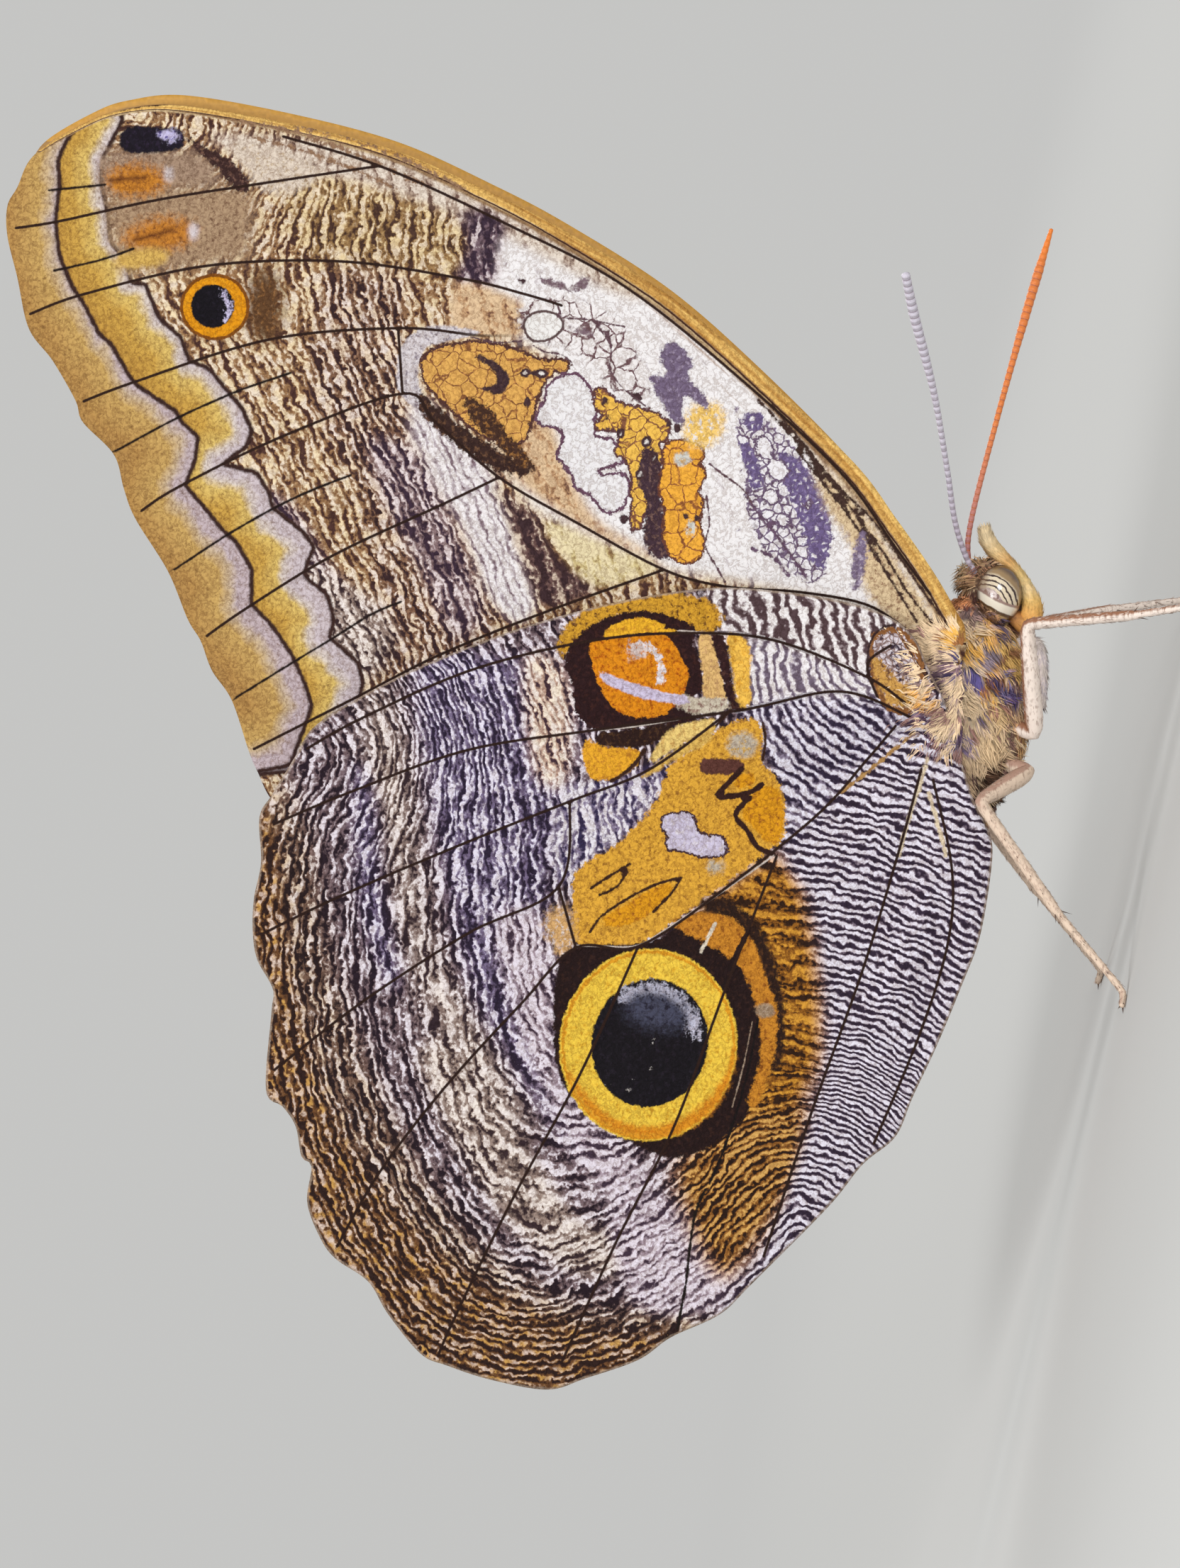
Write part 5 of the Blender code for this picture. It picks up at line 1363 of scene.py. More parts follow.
def skin_rings():
    """The skin's points: rings about the spine, each marched outwards to the skin."""
    share = np.linspace(0, 1, SKIN_STATIONS)
    share = share - 0.11 * np.sin(2 * math.pi * share)
    dense = smooth_path(BODY_SPINE, 0.05)
    centre = np.stack([np.interp(share, np.linspace(0, 1, len(dense)), column)
                       for column in dense.T], axis=1)
    inside = body_depth(centre) < -0.02
    centre = centre[inside]
    along = headings(centre)
    aside = np.tile((0.0, 1.0, 0.0), (len(centre), 1))
    upward = np.cross(along, aside)
    angles = 2 * math.pi * np.arange(SKIN_SIDES) / SKIN_SIDES
    rays = (np.cos(angles)[None, :, None] * aside[:, None, :]
            + np.sin(angles)[None, :, None] * upward[:, None, :])
    low = np.zeros(rays.shape[:2])
    high = np.full(rays.shape[:2], 6.0)
    for _ in range(22):
        middle = 0.5 * (low + high)
        outside = body_depth(centre[:, None, :] + rays * middle[..., None]) > 0
        high = np.where(outside, middle, high)
        low = np.where(outside, low, middle)
    points = centre[:, None, :] + rays * low[..., None]
    ends = [centre[0] - along[0] * 0.02, centre[-1] + along[-1] * 0.02]
    return np.vstack([points.reshape(-1, 3), ends]), len(centre)


def body_colours(points, seed):
    """The body's markings: soft ovals over a cream ground, the same for skin and hairs."""
    seen = np.stack([points[:, 0], -points[:, 2]], axis=1)
    noise = np.random.default_rng(seed)
    jitter = noise.normal(0, 0.12, (len(points), 2))
    u = PHOTO_HINGE[0] + (seen[:, 1] + jitter[:, 0]) * PHOTO_PER_MM
    v = PHOTO_HINGE[1] - (seen[:, 0] + jitter[:, 1]) * PHOTO_PER_MM
    colours = np.tile(paint(*BODY_BASE), (len(points), 1))
    belly = ramp(-11.0, -13.0, points[:, 0])[:, None]
    colours += (np.array(paint(*BELLY_TAN)) - colours) * belly
    for mark_u, mark_v, half_u, half_v, turn_deg, soft, colour in BODY_MARKS:
        turn = math.radians(turn_deg)
        a = ((u - mark_u) * math.cos(turn) + (v - mark_v) * math.sin(turn)) / half_u
        b = (-(u - mark_u) * math.sin(turn) + (v - mark_v) * math.cos(turn)) / half_v
        reach = (np.hypot(a, b) - 1) * min(half_u, half_v) / PHOTO_PER_MM
        share = ramp(soft, -soft, reach)[:, None] if soft else (reach < 0)[:, None]
        colours += (np.array(paint(*colour)) - colours) * share
    return colours


def coat_finish(name, roughness=0.75, spread=0.35):
    """Colours written on the mesh, broken up by fine noise."""
    s = Shader(name, roughness)
    place = s.attribute("place", "Vector")
    shade = s.step(s.add(s.noise(place, 3.5, 3.0), s.times(s.noise(place, 9.0), 0.6)), -0.35, 0.35)
    tint = s.attribute("tint", "Color")
    s.colour(s.mix(shade, s.darken(tint, (1 - spread, 1 - spread, 1 - spread)), tint))
    return s.material


def build_skin():
    points, rings = skin_rings()
    faces, maps = ring_faces(rings, SKIN_SIDES)
    fine_piece("skin", ("thorax", "abdomen", "head"), points, faces,
               coat_finish("skin_finish"), maps, {"tint": ("FLOAT_COLOR", body_colours(points, 3))})
    return points, rings


def nearest_of(places, centres):
    """For each place, which of the centres is nearest."""
    spread = (centres ** 2).sum(axis=1)[None, :] - 2 * places @ centres.T
    return spread.argmin(axis=1)


def repeated_faces(pattern, corners, count):
    """The faces of many like pieces that have so many corners each."""
    return (pattern[None] + corners * np.arange(count)[:, None, None]).reshape(-1, 3)


def patch_maps(centre, patch_map, pattern):
    """A small patch of map for each piece, round its own centre."""
    centre = np.clip(centre, MAP_INSET, 1 - MAP_INSET)
    return (centre[:, None, None, :] + patch_map[pattern][None]).reshape(-1, 2)


def add_tufts(name, draw, root, normal, lie, lift, length, width, centre, locks):
    """Three-sided tufts that lean from their roots and draw together into locks."""
    count = len(root)
    leader = draw.choice(count, locks, replace=False)
    lock = nearest_of(root, root[leader])
    lie = lie + draw.normal(0, LOCK_SPREAD, (locks, 3))[lock] + draw.normal(0, TUFT_SPREAD, (count, 3))
    lie -= normal * np.einsum("ij,ij->i", lie, normal)[:, None]
    lie = unit_rows(lie)
    first = lie * np.cos(lift)[:, None] + normal * np.sin(lift)[:, None]
    second = lie * np.cos(lift * 0.3)[:, None] + normal * np.sin(lift * 0.3)[:, None]
    aside = unit_rows(np.cross(first, normal))
    middle = root + first * (length * 0.5)[:, None]
    tip = middle + second * (length * 0.5)[:, None]
    tip += (tip[leader][lock] - tip) * LOCK_GATHER
    base = root - normal * ROOT_DEPTH
    rows = []
    for place, share in ((base, 1.0), (middle, 0.8)):
        for turn in TUFT_TURNS:
            rows.append(place + (aside * math.cos(turn) + normal * math.sin(turn) * 0.4)
                        * (width * share)[:, None])
    rows.append(tip)
    corners = np.stack(rows, axis=1)
    pattern = np.array([(0, 4, 1), (0, 3, 4), (1, 5, 2), (1, 4, 5), (2, 3, 0), (2, 5, 3),
                        (3, 6, 4), (4, 6, 5), (5, 6, 3)])
    patch_map = np.array([(math.cos(t) * r, math.sin(t) * r) for r in (MAP_PATCH, MAP_PATCH_UPPER)
                          for t in TUFT_TURNS] + [(0.0, 0.0)])
    shade = draw.uniform(0.7, 1.5, (locks, 1))[lock] * draw.uniform(0.8, 1.2, (count, 1))
    shaded = draw.random(locks)[lock] < SHADED_SHARE
    shade = shade * np.where(shaded[:, None], COAT_SHADED, 1.0)
    sampled = root + draw.normal(0, 0.2, (locks, 3))[lock] * (1, 0, 1)
    # Hair colours lightened past the skin's, painted light against the shade among the tufts.
    tint = body_colours(sampled, 5) ** COAT_LIFT * shade * COAT_WARMTH_AND_LIGHT
    tint = np.repeat(tint / np.maximum(1.0, tint.max(axis=1))[:, None], len(rows), axis=0)
    turned = unit_rows(normal * 0.9 + lie * 0.25 + draw.normal(0, 0.2, (count, 3)))
    fine_piece(name, None, corners.reshape(-1, 3), repeated_faces(pattern, len(rows), count),
               coat_finish(name + "_finish", 0.8, 0.22), patch_maps(centre, patch_map, pattern),
               {"tint": ("FLOAT_COLOR", tint)}, np.repeat(turned, len(rows), axis=0))


def build_coat(points, rings):
    """Hair tufts over the skin, each with its patch of map at its root's place."""
    draw = np.random.default_rng(COAT_SEED)
    grid = points[:-2].reshape(rings, SKIN_SIDES, 3)
    after = np.roll(grid, -1, axis=1)
    spans = after[:-1] - grid[:-1]
    steps = grid[1:] - grid[:-1]
    normals = np.cross(spans, steps)
    area = np.linalg.norm(normals, axis=2)
    normals /= area[..., None]
    x = grid[:-1, :, 0]
    dense = np.where(x > -11.5, 1.0, 0.45)
    chance = (area * dense).ravel() / (area * dense).sum()
    picks = draw.choice(area.size, COAT_TUFTS, p=chance)
    ring, side = np.unravel_index(picks, area.shape)
    a, b = draw.random((2, COAT_TUFTS))
    root = grid[ring, side] + spans[ring, side] * a[:, None] + steps[ring, side] * b[:, None]
    normal = normals[ring, side]
    outward = np.sign(np.einsum("ij,ij->i", normal, root - grid.mean(axis=1)[ring]))
    normal = normal * np.where(outward == 0, 1, outward)[:, None]
    keep = ellipsoid_depth(root * np.array((1, 0, 1)) + np.abs(root) * np.array((0, 1, 0)),
                           EYE_CENTRE, EYE_HALF) > EYE_CLEARANCE
    root, normal, ring, side, a, b = (item[keep] for item in (root, normal, ring, side, a, b))
    count = len(root)
    head = ramp(0.4, 2.0, root[:, 0])
    tail = ramp(-11.0, -13.5, root[:, 0])
    crown = ramp(3.2, 4.2, root[:, 0]) * ramp(-1.8, -0.6, root[:, 2])
    lie = np.stack([-1.0 + 0.5 * crown, 0 * head, -0.45 + 0.8 * crown + 0.3 * tail], axis=1)
    lift = 0.42 - 0.12 * tail + 0.45 * crown + draw.normal(0, 0.1, count)
    length = (1.35 - 0.65 * head - 0.8 * tail + 0.7 * crown) * draw.uniform(0.7, 1.25, count)
    width = (0.07 + 0.03 * tail) * draw.uniform(0.7, 1.3, count)
    centre = np.stack([(ring + 1 + b) / (rings + 1), (side + a) / SKIN_SIDES], axis=1)
    add_tufts("coat", draw, root, normal, lie, lift, length, width, centre, COAT_LOCKS)


def build_lashes():
    """Hairs that close over the lower rear part of each eye."""
    for side_name, side in SIDES:
        draw = np.random.default_rng(LASH_SEED)
        unit = unit_rows(draw.normal(0, 1, (LASH_TRIES, 3)))
        place = EYE_CENTRE + unit * EYE_HALF
        slope_x, slope_z, start = EYE_CRESCENT
        kept = (place[:, 0] * slope_x + place[:, 2] * slope_z + start > 0.62) & (unit[:, 1] > -0.1)
        flip = np.array((1, side, 1))
        root = place[kept] * flip
        normal = unit_rows(unit[kept] / EYE_HALF) * flip
        count = len(root)
        lie = np.tile((-0.8, 0.0, 0.35), (count, 1))
        centre = 0.5 + 0.45 * unit[kept][:, (0, 2)]
        add_tufts("lashes_" + side_name, draw, root, normal, lie, np.full(count, 0.25),
                  0.7 * draw.uniform(0.6, 1.2, count), 0.05 * draw.uniform(0.7, 1.3, count),
                  centre, LASH_LOCKS)


def wing_base_surface(x, z):
    """How far the wings' outer faces stand from the mid plane."""
    places = np.stack([x, z], axis=1)
    behind = is_inside(places, smooth_path(HINDWING_OUTLINE, 1.0, closed=True))
    return np.where(behind, hindwing_offset(x, z), forewing_offset(x, z)) + SHEET_HALF


def build_shoulder_hairs():
    """Hairs of the thorax that lie over the wings' bases, on both sides."""
    for side_name, side in SIDES:
        draw = np.random.default_rng(SHOULDER_SEED)
        u = SHOULDER_EDGE - np.abs(draw.normal(0, SHOULDER_REACH, SHOULDER_TUFTS))
        v = draw.uniform(*SHOULDER_SPAN, SHOULDER_TUFTS)
        x, z = spots(np.stack([u, v], axis=1)).T
        level = wing_base_surface(x, z)
        tilt = [(wing_base_surface(x + dx, z + dz) - level) / 0.1 for dx, dz in ((0.1, 0), (0, 0.1))]
        normal = unit_rows(np.stack([-np.clip(tilt[0], -1, 1), np.ones(len(x)),
                                     -np.clip(tilt[1], -1, 1)], axis=1))
        flip = np.array((1, side, 1))
        low = v > SHOULDER_LOW
        kept = (~low & (u > 1290)) | (draw.random(len(v)) < 0.35)
        root = np.stack([x, level, z], axis=1) * flip
        lie = unit_rows(np.stack([x - SHOULDER_CENTRE[0], 0 * x, z - SHOULDER_CENTRE[1]], axis=1))
        reach = ramp(0.0, 3 * SHOULDER_REACH, SHOULDER_EDGE - u)
        centre = np.stack([(x - x.min()) / np.ptp(x), (z - z.min()) / np.ptp(z)], axis=1)
        lift = 0.3 - 0.18 * reach
        length = (1.5 - 0.5 * reach - 0.3 * low) * draw.uniform(0.7, 1.2, len(x))
        width = (0.07 - 0.02 * low) * draw.uniform(0.7, 1.3, len(x))
        chosen = [item[kept] for item in (root, normal * flip, lie, lift, length, width, centre)]
        add_tufts("shoulder_hairs_" + side_name, draw, *chosen, SHOULDER_LOCKS)


def eye_finish(name):
    """Arched cream and brown stripes round a mottled middle, darker at the top and the rim."""
    s = Shader(name, 0.18)
    place = s.attribute("place", "Vector")
    x, _, z = s.parts(place)
    wobble = s.times(s.noise(place, 1.6, 2.0), 0.3)
    ahead = s.add(x, -EYE_ARC_CENTRE[0])
    aside = s.add(z, -EYE_ARC_CENTRE[1])
    reach = s.math("SQRT", s.add(s.times(ahead, ahead), s.times(aside, aside)))
    reach = s.add(reach, wobble)
    broken = s.noise(place, 3.4, 3.0)
    wave = s.add(s.sine(s.add(reach, -1.36), 0.36), s.times(broken, 1.3))
    colour = s.mix(s.step(wave, -0.75, -0.1), paint(52, 32, 28), paint(222, 206, 178))
    patchy = s.mix(s.step(broken, -0.12, 0.08), paint(132, 104, 98), paint(222, 204, 200))
    colour = s.mix(s.step(reach, 1.5, 1.2), colour, patchy)
    back = s.step(s.add(z, s.times(broken, 1.2)), -1.9, -1.2)
    colour = s.mix(s.times(back, 0.6), colour, paint(140, 112, 92))
    colour = s.mix(s.step(reach, 2.35, 2.6), colour, paint(150, 122, 84))
    colour = s.mix(s.step(reach, 2.7, 3.1), colour, paint(84, 58, 40))
    slope_x, slope_z, start = EYE_CRESCENT
    depth = s.add(s.add(s.times(x, slope_x), s.times(z, slope_z)), start)
    bow = s.times(s.times(aside, aside), 0.10)
    depth = s.add(s.add(depth, bow), s.times(wobble, 0.4))
    colour = s.mix(s.step(depth, -0.16, -0.06), colour, paint(150, 122, 112))
    colour = s.mix(s.step(depth, 0.0, 0.1), colour, paint(234, 224, 206))
    colour = s.mix(s.step(depth, 0.5, 0.58), colour, paint(92, 66, 44))
    colour = s.mix(s.step(depth, 0.66, 0.8), colour, paint(214, 180, 128))
    aim_x = s.add(x, -EYE_CENTRE[0])
    aim_z = s.add(z, -EYE_CENTRE[2])
    edge = s.math("SQRT", s.add(s.times(s.times(aim_x, aim_x), 1 / EYE_HALF[0] ** 2),
                                s.times(s.times(aim_z, aim_z), 1 / EYE_HALF[2] ** 2)))
    colour = s.mix(s.times(s.step(edge, 0.86, 0.99), 0.7), colour, paint(78, 54, 40))
    s.colour(colour)
    cells = s.noise(place, 14.0, 0.0)
    s.bump(cells, 0.15, 0.00003)
    s.surface.inputs["Coat Weight"].default_value = 0.6
    s.surface.inputs["Coat Roughness"].default_value = 0.08
    return s.material


def build_eyes():
    finish = eye_finish("eye_finish")
    around = 2 * math.pi * np.arange(EYE_SIDES) / EYE_SIDES
    polar = np.linspace(0.06, math.pi - 0.06, EYE_RINGS)
    for side_name, side in SIDES:
        centre = EYE_CENTRE * np.array((1, side, 1))
        unit = np.stack([np.outer(np.sin(polar), np.cos(around)),
                         np.repeat(np.cos(polar)[:, None] * side, EYE_SIDES, axis=1),
                         np.outer(np.sin(polar), np.sin(around))], axis=2)
        points = np.vstack([(centre + unit * EYE_HALF).reshape(-1, 3),
                            centre + (0, side * EYE_HALF[1], 0),
                            centre - (0, side * EYE_HALF[1], 0)])
        faces, maps = ring_faces(EYE_RINGS, EYE_SIDES)
        if side > 0:
            maps = [maps[start + offset] for start, offset in map_order(faces)]
            faces = [face[::-1] for face in faces]
        fine_piece("eye_" + side_name, "eye_" + side_name, points, faces, finish, maps)


# Feelers and tongue: colours of the root, shaft, gaps and club, and the length in mm
FEELER_PAINTS = {
    "antenna_right": ((182, 172, 186), (200, 194, 206), (158, 146, 158), (176, 160, 172), 33.0),
    "antenna_left": ((176, 118, 118), (222, 124, 56), (176, 96, 60), (230, 124, 40), 28.5),
    "tongue": ((182, 172, 186), (150, 96, 50), (86, 52, 30), (120, 76, 40), 40.0),
}

# Limbs: colours above and below, and of the specks
LEG_PAINTS = {
    "midleg": ((150, 102, 74), (238, 222, 210), (120, 82, 62)),
    "hindleg": ((176, 140, 122), (222, 198, 176), (120, 82, 62)),
    "foreleg": ((228, 216, 226), (234, 220, 212), (150, 120, 120)),
}

# A palp's colours from its root on, each with its place in mm
PALP_STOPS = [(0, (150, 96, 50)), (1.6, (238, 172, 88)), (2.8, (246, 200, 116)),
              (3.6, (250, 216, 158)), (4.8, (246, 208, 134)), (6.0, (226, 172, 102)),
              (7.0, (242, 206, 146)), (8.2, (234, 208, 164))]


def feeler_finish(name):
    """Ringed segments, with another colour at the root and the club."""
    root, shaft, gap, club, length = (value if isinstance(value, float) else paint(*value)
                                      for value in FEELER_PAINTS[name])
    s = Shader(name + "_finish", 0.5)
    along = s.attribute("along")
    place = s.attribute("place", "Vector")
    ring = s.sine(along, FEELER_RING)
    rooted = s.mix(s.step(along, 1.0, 13.0), root, shaft)
    colour = s.mix(s.step(ring, -0.98, -0.7), gap, rooted)
    colour = s.mix(s.times(s.step(s.noise(place, 4.0, 3.0), 0.0, 0.2), 0.35), colour, gap)
    colour = s.mix(s.step(along, length - 5.5, length - 3.0), colour, club)
    s.colour(colour)
    s.bump(ring, 0.5, 0.00006)
    return s.material


def limb_finish(name, limb):
    """Scaled limb: one colour above, one below, with scale specks."""
    upper, lower, speck = (paint(*colour) for colour in LEG_PAINTS[limb])
    s = Shader(name, 0.6)
    _, y, z = s.parts(s.attribute("place", "Vector"))
    scales = s.noise(s.vector(s.times(s.attribute("along"), 2.2), s.times(y, 5.0), s.times(z, 5.0)),
                     1.0, 3.0)
    side_share = s.add(s.attribute("upper"), s.times(scales, 0.5))
    colour = s.mix(s.step(side_share, -0.1, 0.25), lower, upper)
    colour = s.mix(s.times(s.step(scales, 0.02, 0.22), 0.5), colour, speck)
    s.colour(colour)
    s.bump(scales, 0.5, 0.00008)
    return s.material


def add_tube(name, path, radii, finish):
    """A round piece along a path that replaces the solid of its name."""
    points, faces, maps, fields = tube(path, radii, FEELER_SIDES)
    fine_piece(name, name, points, faces, finish, maps, fields)


def build_feelers():
    finishes = {name: feeler_finish("antenna_" + name) for name, _ in SIDES}
    for name, side in SIDES:
        path = smooth_path(ANTENNA_ROUTES[name], 0.13)
        ringed = 1 + 0.05 * np.sin(run_lengths(path) * 2 * math.pi / FEELER_RING)
        add_tube("antenna_" + name, path, radii_along(path, ANTENNA_RADII[name]) * ringed,
                 finishes[name])
        palp = smooth_path([(x, side * y, z) for x, y, z in PALP_ROUTE], 0.16)
        radii = radii_along(palp, PALP_RADII)
        points, faces, maps, fields = tube(palp, radii, 18)
        tint = palp_colours(fields["along"][1], points)
        fine_piece("palp_" + name, "palp_" + name, points, faces,
                   coat_finish("palp_finish", 0.7, 0.3), maps, {"tint": ("FLOAT_COLOR", tint)})
        add_bristles("palp_hairs_" + name, palp, radii, PALP_HAIRS, 0.42, 0.05, 0.3, 21,
                     palp_colours)


def palp_colours(along, _):
    """Orange at the bend, tan and cream above, pale at the tip."""
    places = [place for place, _ in PALP_STOPS]
    colours = np.array([paint(*colour) for _, colour in PALP_STOPS])
    return np.stack([np.interp(along, places, column) for column in colours.T], axis=1)


def add_bristles(name, path, radii, number, length, width, lift, seed, colours):
    """Short hairs that lie along a limb, joined as one mesh."""
    draw = np.random.default_rng(seed)
    lengths = run_lengths(path)
    pick = draw.choice(len(path), number, p=radii / radii.sum())
    direction = headings(path)[pick]
    spread = draw.normal(0, 1, (number, 3))
    normal = unit_rows(spread - direction * np.einsum("ij,ij->i", spread, direction)[:, None])
    root = path[pick] + normal * radii[pick][:, None] * 0.9
    angle = lift * draw.uniform(0.5, 1.5, number)
    heading = direction * np.cos(angle)[:, None] + normal * np.sin(angle)[:, None]
    size = length * draw.uniform(0.6, 1.3, number)
    half = (width * draw.uniform(0.7, 1.3, number))[:, None]
    aside = np.cross(heading, normal) * half
    corners = np.stack([root + aside, root - aside, root + normal * half * 1.2,
                        root + heading * size[:, None]], axis=1)
    pattern = np.array([(0, 1, 3), (1, 2, 3), (2, 0, 3), (0, 2, 1)])
    patch_map = np.array([(1, 0), (-1, 0), (0, 1), (0, -1)]) * MAP_PATCH
    centre = np.stack([lengths[pick] / lengths[-1], draw.random(number)], axis=1)
    tint = colours(lengths[pick], root) * draw.uniform(0.75, 1.2, (number, 1))
    tint = np.clip(np.repeat(tint, 4, axis=0), 0, 1)
    fine_piece(name, None, corners.reshape(-1, 3), repeated_faces(pattern, 4, number),
               coat_finish(name + "_finish", 0.7, 0.2), patch_maps(centre, patch_map, pattern),
               {"tint": ("FLOAT_COLOR", tint)}, np.repeat(normal, 4, axis=0))


def build_tongue():
    """The coiled tongue under the head."""
    turns = np.linspace(0, TONGUE_TURNS, 60)
    angle = math.radians(90) + 2 * math.pi * turns
    radius = TONGUE_OUTER + (TONGUE_INNER - TONGUE_OUTER) * turns / TONGUE_TURNS
    path = np.stack([TONGUE_CENTRE[0] + radius * np.cos(angle), 0 * turns,
                     TONGUE_CENTRE[1] + radius * np.sin(angle)], axis=1)
    add_tube("proboscis", path, radii_along(path, TONGUE_RADII), feeler_finish("tongue"))


def rounded_route(joints):
    """A limb's path: straight runs with short bends at its joints."""
    path = [joints[0]]
    for before, joint, after in zip(joints[:-2], joints[1:-1], joints[2:]):
        for other in (before, after):
            span = other - joint
            path.append(joint + span * min(0.45, KNEE_BEND * 1.6 / np.linalg.norm(span)))
        path[-2:] = [path[-2], joint * 0.6 + (path[-2] + path[-1]) * 0.2, path[-1]]
    path.append(joints[-1])
    dense = []
    for start, end in zip(path[:-1], path[1:]):
        parts = max(1, int(np.linalg.norm(end - start) / 0.15))
        dense += [start + (end - start) * share for share in np.arange(parts) / parts]
    dense.append(path[-1])
    return np.array(dense)


def limb_colours(name):
    upper, lower, _ = (np.array(paint(*colour)) for colour in LEG_PAINTS[name])

    def colours(_, points):
        share = ramp(-0.3, 0.3, np.sin(points[:, 0] * 3.1 + points[:, 1] * 5.7))[:, None]
        return lower + (upper - lower) * share * 0.6
    return colours


def build_leg(name, side_name, side):
    """A walking leg with its bristles and spines, from the hip to the floor."""
    lead = LEG_LEAD[side_name]
    joints = [np.array((x, side * y, z), float) for x, y, z in LEG_JOINTS[name]]
    joints[3][0] += lead
    to_body = STANCE.inverted()
    for x, y in LEG_FOOT[name]:
        joints.append(np.array(to_body @ (Vector((x + lead, side * y, FOOT_HEIGHT)) * MM)))
    path = rounded_route(joints)
    lengths = run_lengths(path)
    stops = [0.0]
    for start, end in zip(joints[:-1], joints[1:]):
        stops.append(stops[-1] + np.linalg.norm(end - start))
    stops = np.array(stops) * lengths[-1] / stops[-1]
    hip, knee, ankle, heel, toe = stops[1:]
    places = [0, hip, hip + 1.0, (hip + knee) / 2, knee - 0.6, knee, knee + 0.8,
              (knee + ankle) / 2, ankle - 0.4, ankle + 0.3, heel, toe]
    radii = np.interp(lengths, places, LEG_RADII)
    beads = np.where(lengths > ankle, 0.05 * np.sin(lengths * 2 * math.pi / TOE_BEAD), 0)
    points, faces, maps, fields = tube(path, radii * (1 + beads), LIMB_SIDES)
    centres = np.vstack([np.repeat(path, LIMB_SIDES, axis=0), path[:1], path[-1:]])
    fields["upper"] = ("FLOAT", (points - centres) @ (1.6, 0, 1.2) - 0.25)
    full_name = name + "_" + side_name
    fine_piece(full_name, full_name, points, faces, limb_finish(full_name + "_finish", name),
               maps, fields)
    outer = lengths > hip
    add_bristles(name + "_hairs_" + side_name, path[outer], radii[outer], LEG_HAIRS, 0.36,
                 0.035, 0.3, 31 + len(name), limb_colours(name))
    add_spines(name, side_name, path, radii, lengths, knee, ankle, heel)


def add_spines(name, side_name, path, radii, lengths, knee, ankle, heel):
    """Spines along the lower leg, two spurs at its end and a pair of claws at the toe."""
    places = list(np.arange(knee + 1.2, ankle - 0.8, 0.8)) + list(np.arange(ankle + 0.5, heel, 0.65))
    spines = []
    for index, place in enumerate(places):
        row = int(np.argmin(np.abs(lengths - place)))
        spines.append((row, 70 if index % 2 else 200, 0.55 if place < ankle else 0.35, 0.05))
    row = int(np.argmin(np.abs(lengths - ankle)))
    spines += [(row, 90, 1.0, 0.09), (row, 250, 0.9, 0.09)]
    last = len(path) - 2
    spines += [(last, 20, 0.6, 0.08), (last, 160, 0.6, 0.08)]
    points = []
    faces = []
    maps = []
    for number, (row, angle_deg, size, half) in enumerate(spines):
        direction = path[min(row + 1, len(path) - 1)] - path[row - 1]
        direction /= np.linalg.norm(direction)
        aside = np.cross(direction, (0.2, 0.1, 1.0))
        aside /= np.linalg.norm(aside)
        upward = np.cross(direction, aside)
        angle = math.radians(angle_deg)
        normal = aside * math.cos(angle) + upward * math.sin(angle)
        root = path[row] + normal * radii[row] * 0.6
        tip = root + (direction * 0.8 + normal * 0.6) * size
        across = np.cross(direction, normal)
        first = len(points)
        for turn in (0, 1.57, 3.14, 4.71):
            points.append(root + (across * math.cos(turn) + direction * math.sin(turn)) * half)
        points.append(tip)
        for corner in range(4):
            faces.append((first + corner, first + (corner + 1) % 4, first + 4))
            u = (number + corner / 4) / len(spines)
            maps += [(u, 0.1), (u + 0.2 / len(spines), 0.1), (u + 0.1 / len(spines), 0.9)]
    s = Shader(name + "_spine_finish_" + side_name, 0.5)
    s.colour(paint(84, 56, 40))
    fine_piece(name + "_spines_" + side_name, None, points, faces, s.material, maps)


def build_legs():
    for side_name, side in SIDES:
        for name in LEG_JOINTS:
            build_leg(name, side_name, side)
        path = smooth_path([(x, side * y, z) for x, y, z in FORELEG_ROUTE], 0.15)
        radii = radii_along(path, FORELEG_RADII)
        points, faces, maps, fields = tube(path, radii, LIMB_SIDES)
        fields["upper"] = ("FLOAT", points[:, 2] * 0)
        fine_piece("foreleg_" + side_name, "foreleg_" + side_name, points, faces,
                   limb_finish("foreleg_finish_" + side_name, "foreleg"), maps, fields)
        add_bristles("foreleg_hairs_" + side_name, path, radii, FORELEG_HAIRS, 0.5, 0.045,
                     0.35, 41, limb_colours("foreleg"))


def build_body():
    points, rings = build_skin()
    build_coat(points, rings)
    build_shoulder_hairs()
    build_lashes()
    build_eyes()
    build_feelers()
    build_tongue()
    build_legs()


def margin_cells(s, place, colour, edge):
    """The forewing's band of ochre cells between and beyond the two scalloped lines."""
    spread = s.noise(place, 0.7, 3.0)
    speck = s.step(s.noise(place, 2.8, 4.0, 0.62), 0.0, 0.2)
    pale = s.step(s.parts(place)[0], 24.0, 4.0)
    for name, stops in (("line_inner", INNER_CELL_STOPS), ("line_outer", OUTER_CELL_STOPS)):
        depth = s.add(s.attribute(name), s.times(edge, 0.22))
        run = s.add(s.add(depth, s.times(spread, 1.2)), s.times(pale, -0.95))
        ramped = s.stops(s.times(run, 1 / CELL_SPAN), stops)
        ramped = s.mix(s.times(speck, 0.5), ramped, paint(118, 82, 42))
        colour = s.mix(s.step(depth, 0.0, 0.1), colour, ramped)
        core = s.math("ABSOLUTE", s.add(depth, -0.02))
        colour = s.mix(s.step(core, 0.27, 0.06), colour, paint(60, 38, 34))
    return colour


